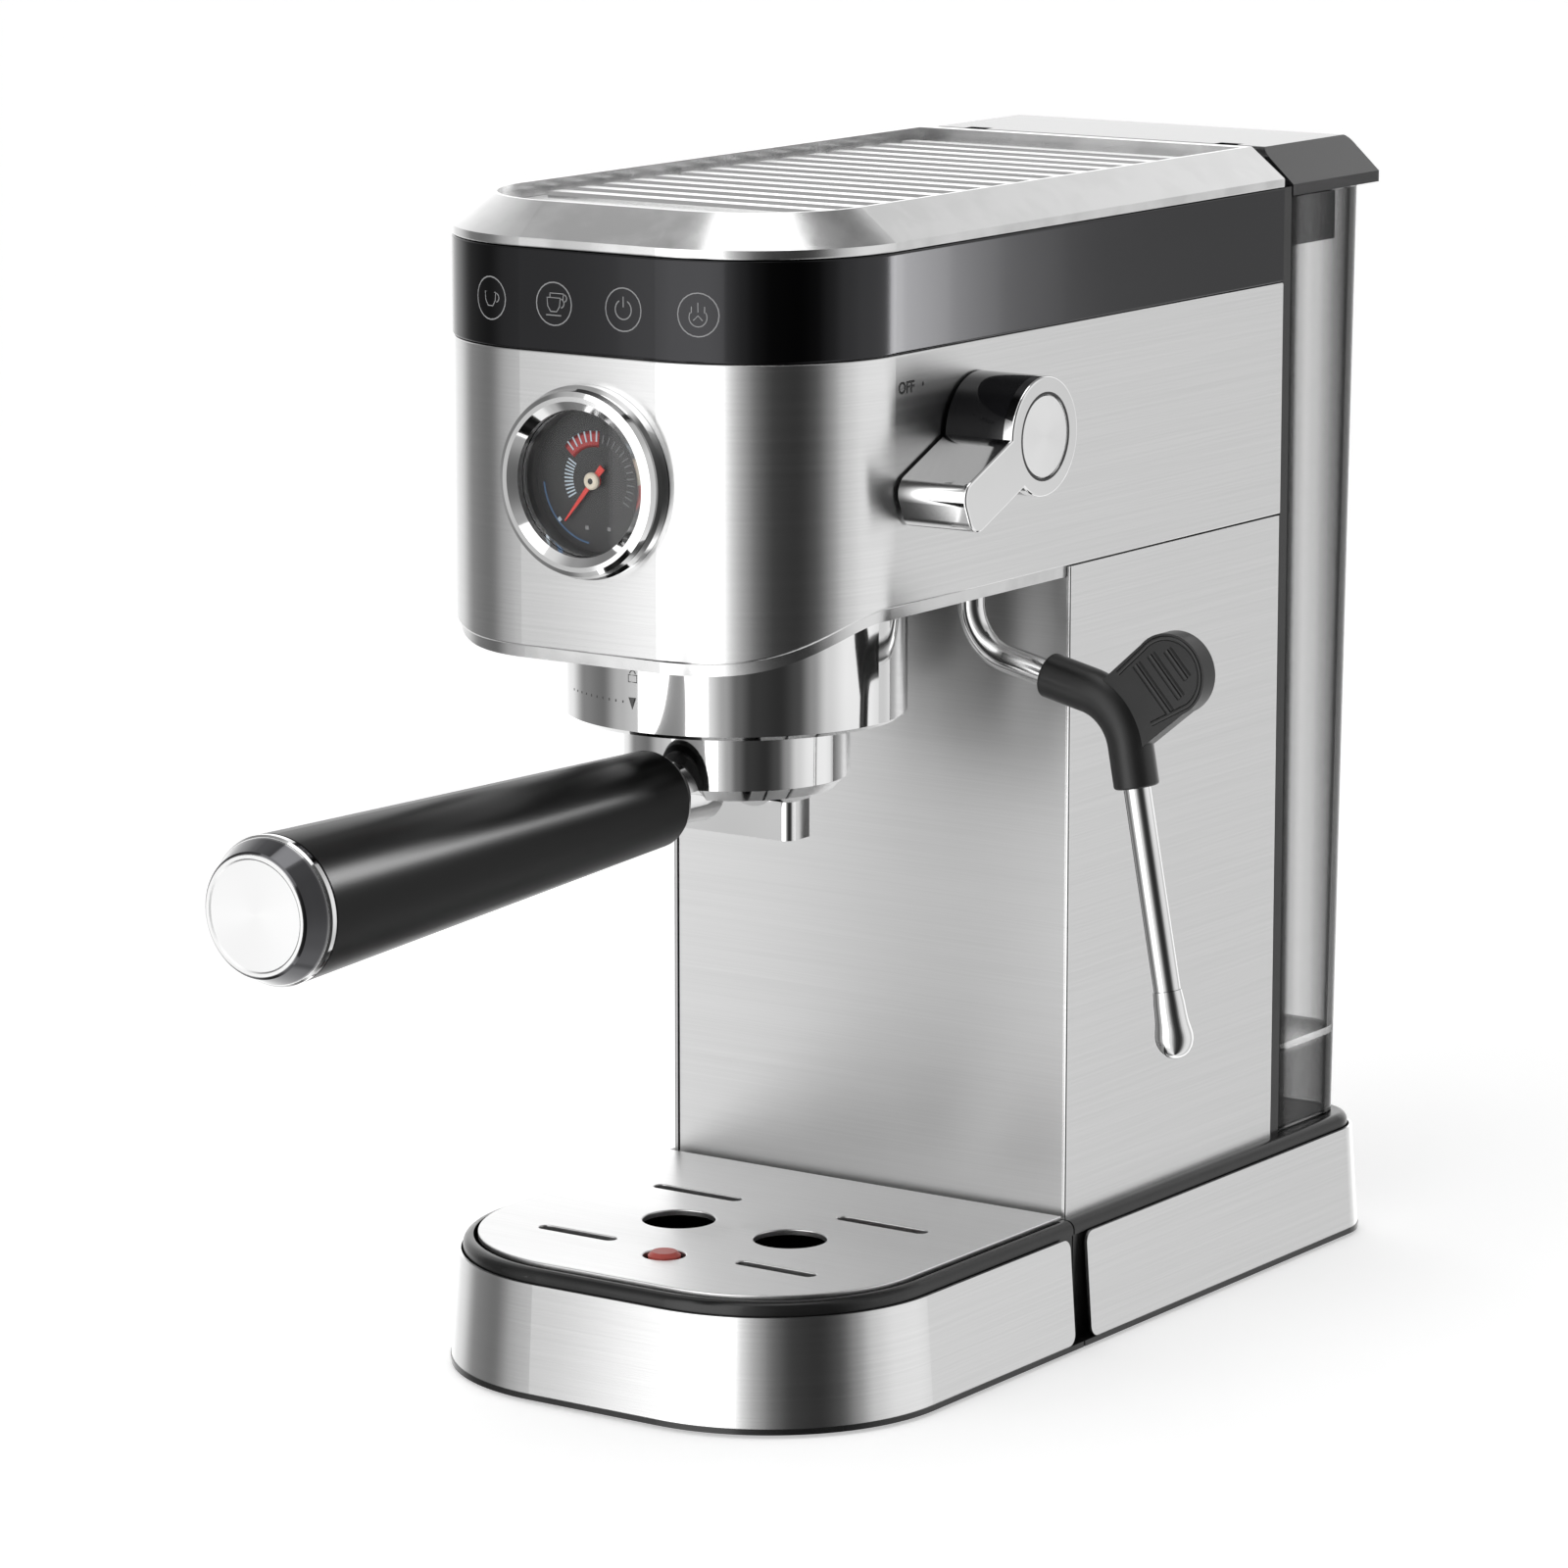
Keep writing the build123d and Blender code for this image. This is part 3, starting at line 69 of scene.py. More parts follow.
def math_node(add, link, operation, *values):
    """A Math node whose inputs are numbers or sockets."""
    node = add("ShaderNodeMath", operation=operation)
    for socket, value in zip(node.inputs, values):
        if isinstance(value, (int, float)):
            socket.default_value = value
        else:
            link(value, socket)
    return node.outputs[0]


def ramp_node(add, link, factor, stops, smooth="EASE"):
    """A Color Ramp over (place, grey or colour) stops."""
    node = add("ShaderNodeValToRGB")
    node.color_ramp.interpolation = smooth
    points = node.color_ramp.elements
    while len(points) < len(stops):
        points.new(0.5)
    for point, (place, colour) in zip(points, stops):
        point.position = place
        point.color = (*(colour if isinstance(colour, tuple) else (colour,) * 3), 1)
    link(factor, node.inputs[0])
    return node.outputs[0]


tent = bpy.data.worlds.new("light_tent")
bpy.context.scene.world = tent
tree, add, link = shader_tree(tent)
parts = add("ShaderNodeSeparateXYZ")
link(add("ShaderNodeTexCoord").outputs["Generated"], parts.inputs[0])
turn = math_node(add, link, "ARCTAN2", parts.outputs["X"],
                 math_node(add, link, "MULTIPLY", parts.outputs["Y"], -1.0))
turn = math_node(add, link, "MULTIPLY_ADD", turn, 1 / math.tau, 0.5)
# brightness round the tent's wall and roof: 0.5 faces the machine's front, 0.75 its right side
WALL = [(0.0, 1.3), (0.12, 1.4), (0.20, 0.9), (0.26, 0.24), (0.32, 0.17), (0.365, 0.5), (0.40, 0.62),
        (0.44, 1.0), (0.50, 1.05), (0.545, 0.85), (0.575, 0.4), (0.60, 0.14), (0.63, 0.045), (0.68, 0.03),
        (0.715, 0.07), (0.745, 0.3), (0.775, 0.7), (0.82, 0.92), (0.88, 0.95), (0.92, 0.66), (1.0, 1.3)]
ROOF = [(0.0, 0.2), (0.12, 0.35), (0.2, 0.8), (0.24, 0.3), (0.35, 0.35), (0.44, 0.8), (0.53, 0.9),
        (0.59, 0.1), (0.70, 0.03), (0.78, 0.5), (0.9, 0.4), (1.0, 0.2)]
wall, roof = ramp_node(add, link, turn, WALL), ramp_node(add, link, turn, ROOF)


def mixed(factor, first, second):
    """One colour over another by a factor socket; the second may be a grey."""
    node = add("ShaderNodeMix", data_type="RGBA")
    link(factor, node.inputs["Factor"])
    link(first, node.inputs["A"])
    if isinstance(second, float):
        node.inputs["B"].default_value = (second, second, second, 1)
    else:
        link(second, node.inputs["B"])
    return node.outputs["Result"]


ROOF_BEGINS, TOP_BEGINS, TOP_LIGHT = [(0.42, 0.0), (0.72, 1.0)], [(0.93, 0.0), (0.98, 1.0)], 1.1
blend = mixed(ramp_node(add, link, parts.outputs["Z"], ROOF_BEGINS), wall, roof)
blend = mixed(ramp_node(add, link, parts.outputs["Z"], TOP_BEGINS), blend, TOP_LIGHT)
lit = add("ShaderNodeBackground")
link(blend, lit.inputs["Color"])
white = add("ShaderNodeBackground")
white.inputs["Color"].default_value = (1, 1, 1, 1)
sight = add("ShaderNodeLightPath")
seen = math_node(add, link, "MAXIMUM", sight.outputs["Is Camera Ray"], sight.outputs["Is Transmission Ray"])
choose = add("ShaderNodeMixShader")
link(seen, choose.inputs[0])
link(lit.outputs[0], choose.inputs[1])
link(white.outputs[0], choose.inputs[2])
link(choose.outputs[0], add("ShaderNodeOutputWorld").inputs[0])

FLOOR_SIZE, FLOOR_WHITE, FLOOR_GLOW = 16, 0.93, 0.45
bpy.ops.object.select_all(action="DESELECT")
bpy.ops.mesh.primitive_plane_add(size=FLOOR_SIZE, location=at(0, 0, 0))
floor = bpy.context.object
floor.name = "floor"
floor_paint = bpy.data.materials.new("floor_white")
tree, add, link = shader_tree(floor_paint)
chalk = add("ShaderNodeBsdfPrincipled")
chalk.inputs["Base Color"].default_value = (*(FLOOR_WHITE,) * 3, 1)
chalk.inputs["Roughness"].default_value = 0.9
chalk.inputs["Emission Color"].default_value = (1, 1, 1, 1)
chalk.inputs["Emission Strength"].default_value = FLOOR_GLOW
link(chalk.outputs[0], add("ShaderNodeOutputMaterial").inputs[0])
floor.data.materials.append(floor_paint)
floor.visible_glossy = False


def soft_box(name, centre, size, aim, strength, only=()):
    """A rectangular lamp of an even radiance, unseen by the camera; it may light only some nodes."""
    bpy.ops.object.light_add(type="AREA", location=centre)
    lamp = bpy.context.object
    lamp.name = name
    lamp.data.shape = "RECTANGLE"
    lamp.data.size, lamp.data.size_y = size
    lamp.data.energy = strength * math.pi * size[0] * size[1]
    lamp.rotation_euler = (aim - centre).to_track_quat("-Z", "Y").to_euler()
    lamp.visible_camera = False
    if only:
        lit = bpy.data.collections.new(name + "_lights")
        for node in only:
            lit.objects.link(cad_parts[node])
        lamp.light_linking.receiver_collection = lit


soft_box("soft_box_front", at(-50, -446, 150), (0.35, 0.9), at(-50, 0, 150), 0.9)
soft_box("soft_box_roof", at(0, -60, 1100), (0.5, 0.5), at(0, -60, 0), 1.2)
soft_box("soft_box_left", at(-420, -446, 150), (0.18, 0.9), at(-60, 0, 150), 0.9, ("splash_panel",))
# a fading row of strips beside the head, each from one reach behind the splash panel to another
STRIP_X, STRIP_HEIGHT, STRIP_TALL = 285, 206, 0.16
for name, first, last, strength in (("strip_near", 175, 258, 9.0), ("strip_mid", 258, 284, 4.0),
                                    ("strip_far", 284, 312, 1.5), ("strip_end", 312, 350, 0.4)):
    middle = (first + last) / 2
    soft_box(name, at(STRIP_X, middle, STRIP_HEIGHT), ((last - first) * MM, STRIP_TALL),
             at(62, middle, STRIP_HEIGHT), strength, ("control_band",))
soft_box("strip_grip", at(320, 316, 441), (0.16, 0.16), at(10, -250, 165), 34.0, ("handle_grip",))

AZIMUTH, ELEVATION, REACH, FOCAL = math.radians(34.5858), math.radians(11.0324), 1.76828, 151.16
aim = at(-40.25, 20.0, 134.51)
towards = Vector((math.sin(AZIMUTH) * math.cos(ELEVATION), -math.cos(AZIMUTH) * math.cos(ELEVATION),
                  math.sin(ELEVATION)))
lens = bpy.data.cameras.new("camera")
lens.lens, lens.sensor_width = FOCAL, 36
lens.clip_start, lens.clip_end = 0.05, 50
camera = bpy.data.objects.new("camera", lens)
bpy.context.scene.collection.objects.link(camera)
camera.location = aim + towards * REACH
camera.rotation_euler = towards.to_track_quat("Z", "Y").to_euler()
bpy.context.scene.camera = camera
bpy.context.scene.view_settings.view_transform = "Standard"

# ------------------------------------------------------------------ brushed steel casing
# Head shell, side sheets, splash panel and the base's bands are cut from one stainless sheet, brushed level
# by a belt: long fine scratches, a few deeper ones, and a soft sheen drawn out across them.


def effect(name, inputs, outputs):
    """A shader node group with named inputs (with first values) and float outputs."""
    group = bpy.data.node_groups.new(name, "ShaderNodeTree")
    for label, value in inputs:
        kind = "NodeSocketVector" if isinstance(value, tuple) else "NodeSocketFloat"
        group.interface.new_socket(label, in_out="INPUT", socket_type=kind).default_value = value
    for label in outputs:
        group.interface.new_socket(label, in_out="OUTPUT", socket_type="NodeSocketFloat")

    def add(kind, **settings):
        node = group.nodes.new(kind)
        for key, value in settings.items():
            setattr(node, key, value)
        return node

    return group, add, group.links.new, add("NodeGroupInput"), add("NodeGroupOutput")


def noise_node(add, link, vector, scale, detail=2.0, rough=0.5):
    """A Noise Texture's grey over a vector socket."""
    node = add("ShaderNodeTexNoise")
    node.inputs["Scale"].default_value = scale
    node.inputs["Detail"].default_value = detail
    node.inputs["Roughness"].default_value = rough
    link(vector, node.inputs["Vector"])
    return node.outputs["Fac"]


scratches, add, link, given, made = effect("scratches", [("Stretch", (12.0, 12.0, 2200.0))],
                                           ["Fine", "Broad"])
place = add("ShaderNodeTexCoord").outputs["Object"]
drawn = add("ShaderNodeVectorMath", operation="MULTIPLY")
link(place, drawn.inputs[0])
link(given.outputs["Stretch"], drawn.inputs[1])
link(noise_node(add, link, drawn.outputs[0], 1.0, 3.0, 0.65), made.inputs["Fine"])
link(noise_node(add, link, drawn.outputs[0], 0.23, 2.0), made.inputs["Broad"])


def finish(name, colour, rough, metallic=0.0, **sockets):
    """A material with a Principled shader, and its tree's add, link and shader."""
    material = bpy.data.materials.new(name)
    tree, add, link = shader_tree(material)
    shader = add("ShaderNodeBsdfPrincipled")
    shader.inputs["Base Color"].default_value = (*colour, 1)
    shader.inputs["Roughness"].default_value = rough
    shader.inputs["Metallic"].default_value = metallic
    for label, value in sockets.items():
        shader.inputs[label.replace("_", " ")].default_value = value
    link(shader.outputs[0], add("ShaderNodeOutputMaterial").inputs[0])
    return material, add, link, shader


def grouped(add, group, **values):
    """A node that holds a group, with its own values."""
    node = add("ShaderNodeGroup", node_tree=group)
    for label, value in values.items():
        node.inputs[label.replace("_", " ")].default_value = value
    return node


def bump(add, link, shader, height, strength, distance):
    """Raises a shader's surface by a height socket."""
    node = add("ShaderNodeBump")
    node.inputs["Strength"].default_value = strength
    node.inputs["Distance"].default_value = distance
    link(height, node.inputs["Height"])
    link(node.outputs[0], shader.inputs["Normal"])


def brushed(name, colour, rough, stretch, drawn_out=0.75, turn_axis="Z", along=0.25, depth=0.06):
    """Brushed metal: the scratches' direction is level round an axis."""
    material, add, link, shader = finish(name, colour, rough, 1.0, Anisotropic=drawn_out,
                                         Anisotropic_Rotation=along)
    lines = grouped(add, scratches, Stretch=stretch)
    link(ramp_node(add, link, lines.outputs["Fine"], [(0.3, tuple(0.97 * c for c in colour)),
                                                      (0.7, tuple(min(1.0, 1.02 * c) for c in colour))]),
         shader.inputs["Base Color"])
    link(ramp_node(add, link, lines.outputs["Broad"], [(0.3, rough - 0.012), (0.7, rough + 0.012)]),
         shader.inputs["Roughness"])
    bump(add, link, shader, lines.outputs["Fine"], depth, 0.00002)
    tangent = add("ShaderNodeTangent", direction_type="RADIAL", axis=turn_axis)
    link(tangent.outputs[0], shader.inputs["Tangent"])
    return material


def paint(material, *names):
    """Gives CAD nodes a material."""
    for name in names:
        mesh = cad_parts[name].data
        mesh.materials.clear()
        mesh.materials.append(material)


LEVEL_GRAIN, ACROSS_GRAIN = (14.0, 14.0, 2600.0), (40.0, 2400.0, 40.0)
steel = brushed("steel_brushed", (0.80, 0.80, 0.80), 0.26, LEVEL_GRAIN)
paint(steel, "head_shell", "left_side_panel", "right_side_panel")
# painted shade: the splash panel is the same brushed sheet, given a darker colour where it stands under the
# head
panel_steel_painted_shade = brushed("panel_steel_painted_shade", (0.52, 0.52, 0.52), 0.3, LEVEL_GRAIN)
paint(panel_steel_painted_shade, "splash_panel")

# ------------------------------------------------------------------ satin top cover and underside
# The cover and the head's underside are moulded and finished in silver: a fine even sparkle, no scratches.
# The cover drops on the shell from above and is held by the control band's clips.
speckle, add, link, given, made = effect("speckle", [("Size", 900.0)], ["Grain", "Cloud"])
place = add("ShaderNodeTexCoord").outputs["Object"]
sized = add("ShaderNodeVectorMath", operation="SCALE")
link(place, sized.inputs[0])
link(given.outputs["Size"], sized.inputs["Scale"])
link(noise_node(add, link, sized.outputs[0], 1.0, 2.0, 0.6), made.inputs["Grain"])
link(noise_node(add, link, sized.outputs[0], 0.03, 3.0), made.inputs["Cloud"])


def grained(name, colour, rough, metallic, size, depth, spread=0.04, **sockets):
    """A plain finish with fine grain in its surface and a slight cloud in its colour and gloss."""
    material, add, link, shader = finish(name, colour, rough, metallic, **sockets)
    grain = grouped(add, speckle, Size=size)
    dark, light = tuple(0.94 * c for c in colour), tuple(min(1.0, 1.05 * c) for c in colour)
    link(ramp_node(add, link, grain.outputs["Cloud"], [(0.35, dark), (0.65, light)]),
         shader.inputs["Base Color"])
    if spread:
        link(ramp_node(add, link, grain.outputs["Cloud"], [(0.35, rough - spread), (0.65, rough + spread)]),
             shader.inputs["Roughness"])
    if depth:
        bump(add, link, shader, grain.outputs["Grain"], 0.2, depth)
    return material


silver = grained("silver_satin", (0.74, 0.74, 0.74), 0.2, 1.0, 2500, 0.00002)
paint(silver, "top_cover", "head_underside")

# ------------------------------------------------------------------ cup warmer
# A pressed stainless plate with raised ribs lies loose in the cover's well, where cups warm on it. It is
# finished satin all over, with a grain that runs across the machine.
satin = brushed("steel_satin", (0.90, 0.90, 0.90), 0.26, ACROSS_GRAIN, drawn_out=0.3, along=0.0)
paint(satin, "cup_warmer")

# ------------------------------------------------------------------ control band
# A polished black moulding wraps the head, with four touch marks printed in grey on its front and on the
# rounded corners beside it. Fingers reach the springs behind it.
gloss = grained("gloss_black", (0.035, 0.035, 0.037), 0.15, 1.0, 300, 0, 0.01, Coat_Weight=0.15)
paint(gloss, "control_band")
print_grey = grained("print_grey", (0.27, 0.27, 0.275), 0.5, 0.0, 900, 0.00001)
PRINT_RISE = 0.12                       # ink stands this much of its half width above the surface


def printed(name, strokes, place, material, body):
    """Strokes of (points, width, closed), in millimetres on a flat sheet, laid by place(u, v, w)."""
    sheet = bpy.data.curves.new(name, "CURVE")
    sheet.dimensions, sheet.bevel_depth = "3D", 1.0
    sheet.bevel_resolution, sheet.use_fill_caps = 1, True
    for points, width, closed in strokes:
        widths = width if isinstance(width, tuple) else (width, width)
        line = sheet.splines.new("POLY")
        line.points.add(len(points) - 1)
        line.use_cyclic_u = closed
        for i, (point, (u, v)) in enumerate(zip(line.points, points)):
            share = i / (len(points) - 1)
            point.co = (u, v, 0, 1)
            point.radius = (widths[0] + (widths[1] - widths[0]) * share) / 2
    piece = bpy.data.objects.new(name, sheet)
    bpy.context.scene.collection.objects.link(piece)
    return laid(piece, place, material, body)


def laid(piece, place, material, body):
    """A flat curve or text made a mesh, then laid on its surface and fixed to a body."""
    bpy.ops.object.select_all(action="DESELECT")
    piece.select_set(True)
    bpy.context.view_layer.objects.active = piece
    bpy.ops.object.convert(target="MESH")
    piece = bpy.context.object
    for vertex in piece.data.vertices:
        vertex.co = place(*vertex.co)
    bpy.ops.object.mode_set(mode="EDIT")
    bpy.ops.mesh.select_all(action="SELECT")
    bpy.ops.mesh.normals_make_consistent(inside=False)
    bpy.ops.object.mode_set(mode="OBJECT")
    piece.data.materials.clear()
    piece.data.materials.append(material)
    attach(piece, body)
    return piece


def arc(radius, first, last, u=0.0, v=0.0, steps=24):
    """Points round a circle, from one angle in degrees to another."""
    turns = [math.radians(first + (last - first) * i / steps) for i in range(steps + 1)]
    return [(u + radius * math.cos(t), v + radius * math.sin(t)) for t in turns]


BAND_FLAT, BAND_CORNER, BAND_FACE = 20.5, 42.0, -123.0
MARK_HEIGHT = 280.3


def on_band(u, v, w):
    """A point on the band: flat in front, then round the corner, with u measured along it."""
    w *= PRINT_RISE
    over = abs(u) - BAND_FLAT
    if over <= 0:
        return at(u, BAND_FACE - w, MARK_HEIGHT + v)
    turn, side = over / BAND_CORNER, math.copysign(1, u)
    return at(side * (BAND_FLAT + (BAND_CORNER + w) * math.sin(turn)),
              BAND_FACE + BAND_CORNER - (BAND_CORNER + w) * math.cos(turn), MARK_HEIGHT + v)


LINE, THIN = 0.34, 0.28
ring = [(arc(5.3, 0, 345, steps=23), LINE, True)]
cup = [([(-2.1, 1.5), (-1.9, -0.6), (-1.0, -1.9), (0.8, -1.9), (1.7, -0.6), (1.9, 1.5)], THIN, True),
       (arc(1.1, -80, 80, 1.95, 0.2, 8), THIN, False)]
behind = [([(-1.2, 1.5), (-1.2, 2.6), (2.9, 2.6), (2.7, 0.9)], THIN, False),
          (arc(0.9, -70, 80, 2.95, 1.5, 8), THIN, False)]
saucer = [([(-2.4, -2.8), (2.2, -2.8)], THIN, False)]
power = [(arc(2.4, 120, 420, steps=20), THIN + 0.05, False), ([(0, 0.6), (0, 3.2)], THIN + 0.05, False)]
steam = [([(0, 0.6), (0.0, 3.0)], THIN, False), ([(-1.7, 0.4), (-1.7, 2.0)], THIN, False),
         ([(1.7, 0.4), (1.7, 2.0)], THIN, False), (arc(2.3, 150, 390, 0, -0.6, 18), THIN, False),
         ([(-1.2, -1.4), (0, -0.2), (1.2, -1.4)], THIN, False)]
for name, middle, marks in (("mark_one_cup", -30.2, cup), ("mark_two_cups", -9.9, cup + behind + saucer),
                            ("mark_power", 11.0, power), ("mark_steam", 32.2, steam)):
    moved = [([(u + middle, v) for u, v in points], width, closed) for points, width, closed in ring + marks]
    printed(name, moved, on_band, print_grey, "root")

# ------------------------------------------------------------------ pressure gauge
# A turned and plated bezel, a pane of glass, a black dial printed with ticks, a red block for too much
# pressure and a blue arc, and a red needle with a cream cap on its arbor.
chrome = grained("chrome", (0.86, 0.86, 0.86), 0.06, 1.0, 400, 0, 0.02)
paint(chrome, "gauge_bezel")
glass = finish("gauge_glass", (1, 1, 1), 0.0, 0.0, Transmission_Weight=1.0, IOR=1.3)[0]
paint(glass, "gauge_glass")
dial = grained("dial_black", (0.010, 0.010, 0.011), 0.45, 0.0, 1500, 0.00001)
paint(dial, "gauge_dial")
red = grained("needle_red", (0.78, 0.035, 0.02), 0.4, 0.0, 1500, 0)
paint(red, "gauge_needle")
dial_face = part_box("gauge_dial")[0]
dial_middle = (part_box("gauge_dial")[0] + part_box("gauge_dial")[1]) / 2


def on_dial(u, v, w):
    """A point on the dial's front, from its middle."""
    return Vector((dial_middle.x + u * MM, dial_face.y - 0.1 * MM * w, dial_middle.z + v * MM))


def spoke(angle, first, last, width):
    """A straight tick that points at the arbor."""
    turn = math.radians(angle)
    return ([(reach * math.cos(turn), reach * math.sin(turn)) for reach in (first, last)], width, False)


tick_white = grained("tick_white", (0.62, 0.72, 0.80), 0.5, 0.0, 900, 0)
tick_dim = grained("tick_dim", (0.16, 0.16, 0.17), 0.5, 0.0, 900, 0)
arc_blue = grained("arc_blue", (0.06, 0.16, 0.33), 0.5, 0.0, 900, 0)
block_red = grained("block_red", (0.42, 0.03, 0.03), 0.5, 0.0, 900, 0)
cream = grained("cap_cream", (0.82, 0.74, 0.60), 0.4, 0.0, 900, 0)
printed("dial_ticks", [spoke(a, 6.9, 9.6, 0.42) for a in range(150, 216, 6)]
        + [spoke(223.5, 14.8, 15.8, 1.1)], on_dial, tick_white, "root")
printed("dial_block", [(arc(10.2, 141, 84, steps=14), 4.0, False)], on_dial, block_red, "root")
printed("dial_block_ticks", [spoke(a, 9.6, 12.3, 0.5) for a in range(88, 142, 9)],
        lambda u, v, w: on_dial(u, v, w + 2.4), tick_white, "root")
printed("dial_faint_ticks", [spoke(a, 9.4, 11.6, 0.35) for a in range(-30, 80, 9)], on_dial, tick_dim,
        "root")
printed("dial_arc", [(arc(15.9, 186, 262), 0.45, False)], on_dial, arc_blue, "root")
printed("dial_studs", [([(u - 0.5, v), (u + 0.5, v)], 1.1, False) for u, v in ((-2.8, -12.0), (3.9, -11.8))],
        on_dial, print_grey, "root")


def turned(name, axis_point, axis, across, outline, material, body, steps=48):
    """A turned piece: an outline of (radius, reach along the axis) in millimetres, spun and closed."""
    bpy.ops.object.select_all(action="DESELECT")
    mesh = bpy.data.meshes.new(name)
    corners = [axis_point + across * (r * MM) + axis * (h * MM) for r, h in outline]
    mesh.from_pydata(corners, [(i, i + 1) for i in range(len(corners) - 1)], [])
    piece = bpy.data.objects.new(name, mesh)
    bpy.context.scene.collection.objects.link(piece)
    piece.select_set(True)
    bpy.context.view_layer.objects.active = piece
    bpy.ops.object.mode_set(mode="EDIT")
    bpy.ops.mesh.select_all(action="SELECT")
    bpy.ops.mesh.spin(steps=steps, angle=math.tau, center=axis_point, axis=axis)
    bpy.ops.mesh.select_all(action="SELECT")
    bpy.ops.mesh.remove_doubles(threshold=0.00001)
    bpy.ops.mesh.normals_make_consistent(inside=False)
    bpy.ops.object.mode_set(mode="OBJECT")
    bpy.ops.object.shade_smooth_by_angle(angle=math.radians(35))
    piece.data.materials.append(material)
    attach(piece, body)
    return piece


FORWARD, UPWARD = Vector((0, -1, 0)), Vector((0, 0, 1))
hub_back = Vector((dial_middle.x, dial_face.y, dial_middle.z))
turned("needle_cap", hub_back, FORWARD, UPWARD,
       [(0, 2.42), (0.85, 2.42), (0.95, 2.58), (1.7, 2.5), (2.15, 2.1), (2.15, 1.45), (0, 1.45)], cream,
       "gauge_needle")
turned("needle_pin", hub_back, FORWARD, UPWARD, [(0, 2.66), (0.6, 2.62), (0.75, 2.4), (0, 2.4)], dial,
       "gauge_needle", 24)

# ------------------------------------------------------------------ steam knob
# A black drum with a plated lever across it; a bright satin disc sits in the lever's ring, and the steel
# round it is printed with where the steam is shut.
knob_black = grained("knob_black", (0.008, 0.008, 0.009), 0.09, 0.0, 300, 0, 0.02, Coat_Weight=0.5)
paint(knob_black, "knob_body")
paint(chrome, "knob_lever")
disc_metal = brushed("disc_metal", (0.92, 0.92, 0.92), 0.26, (40.0, 40.0, 40.0), drawn_out=0.6, turn_axis="X",
                     along=0.0, depth=0.02)
paint(disc_metal, "knob_disc")
knob_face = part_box("knob_lever")[1].x
disc_middle = (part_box("knob_disc")[0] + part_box("knob_disc")[1]) / 2


def on_knob(u, v, w):
    """A point on the knob's face, from the middle of its disc."""
    return Vector((knob_face + 0.04 * MM * w, disc_middle.y + u * MM, disc_middle.z + v * MM))


groove_dark = grained("groove_dark", (0.015, 0.015, 0.016), 0.25, 0.0, 900, 0)
printed("knob_groove", [(arc(10.75, 0, 352.5, steps=47), 0.75, True)], on_knob, groove_dark, "steam_knob")
side_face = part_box("right_side_panel")[1].x
mark_black = grained("mark_black", (0.02, 0.02, 0.02), 0.5, 0.0, 900, 0)
OFF_MIDDLE, OFF_HEIGHT, LETTER = -76.3, 258.75, 4.05


def on_side(u, v, w):
    """A point on the right side sheet, with u running back from the word's middle."""
    return Vector((side_face + 0.1 * MM * w, at(0, OFF_MIDDLE + u, 0).y, (OFF_HEIGHT + v) * MM))


word = bpy.data.curves.new("off_word", "FONT")
word.body, word.size, word.align_x, word.extrude, word.offset = "OFF", LETTER, "CENTER", 0.3, 0.1
letters = bpy.data.objects.new("off_word", word)
bpy.context.scene.collection.objects.link(letters)
laid(letters, on_side, mark_black, "root")
printed("off_dot", [([(7.0, 1.5), (7.6, 1.5)], 0.95, False)], on_side, mark_black, "root")

# ------------------------------------------------------------------ group collar
# The group's collar is turned from brass, plated, and screwed up into the head. It is marked with a padlock,
# a row of dots and a pointer that show which way the holder turns.
paint(chrome, "group_collar")
paint(silver, "group_head")
COLLAR_RADIUS, COLLAR_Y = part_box("group_collar")[1].x - mid_x, -60.0


def on_collar(u, v, w):
    """A point round the collar, u along it from straight in front, v its height."""
    turn = u * MM / COLLAR_RADIUS
    out = COLLAR_RADIUS / MM + PRINT_RISE * w
    return at(out * math.sin(turn), COLLAR_Y - out * math.cos(turn), v)


GREY_LINE = 0.32
lock = [([(-2.0, 184.5), (0.6, 184.5), (0.6, 186.3), (-2.0, 186.3)], GREY_LINE, True),
        (arc(0.85, 0, 180, -0.7, 186.6, 10), GREY_LINE, False)]
dots = [([(u, 179.3), (u + 0.4, 179.3)], 0.62, False) for u in (-25.6 + 2.4 * i for i in range(10))]
pointer = [([(-0.8, 180.6), (-0.8, 177.6)], (2.4, 0.1), False)]
mark_grey = grained("mark_grey", (0.10, 0.10, 0.10), 0.5, 0.0, 900, 0)
printed("collar_marks", lock + dots + pointer, on_collar, mark_grey, "root")

# ------------------------------------------------------------------ filter holder and spouts
# The holder is cast and plated. Its lugs turn into the collar, a double spout is screwed under its bowl, and
# its black neck meets the grip.
paint(chrome, "portafilter_body", "spout")
plastic = grained("black_plastic", (0.012, 0.012, 0.012), 0.38, 0.0, 3000, 0.00003)
paint(plastic, "handle_neck")

# ------------------------------------------------------------------ handle
# The grip is satin black plastic on a steel rod from the neck. A plated ring and a polished bevel with a spun
# metal disc close its outer end; the bevel's near-black colour is a painted dark reflection.
grip = grained("grip_black", (0.003, 0.003, 0.003), 0.3, 0.0, 4000, 0.000003, 0.0, Specular_IOR_Level=0.14)
paint(grip, "handle_grip")
paint(chrome, "grip_ring")
cap_low, cap_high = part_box("end_cap")
spun, add, link, shader = finish("end_spun", (0.8, 0.8, 0.8), 0.24, 1.0, Anisotropic=0.85)
rings = add("ShaderNodeSeparateXYZ")
spot = add("ShaderNodeVectorMath", operation="SUBTRACT")
link(add("ShaderNodeTexCoord").outputs["Object"], spot.inputs[0])
spot.inputs[1].default_value = ((cap_low.x + cap_high.x) / 2, cap_low.y, (cap_low.z + cap_high.z) / 2)
link(spot.outputs[0], rings.inputs[0])
flat_spot = add("ShaderNodeCombineXYZ")
link(rings.outputs["X"], flat_spot.inputs["X"])
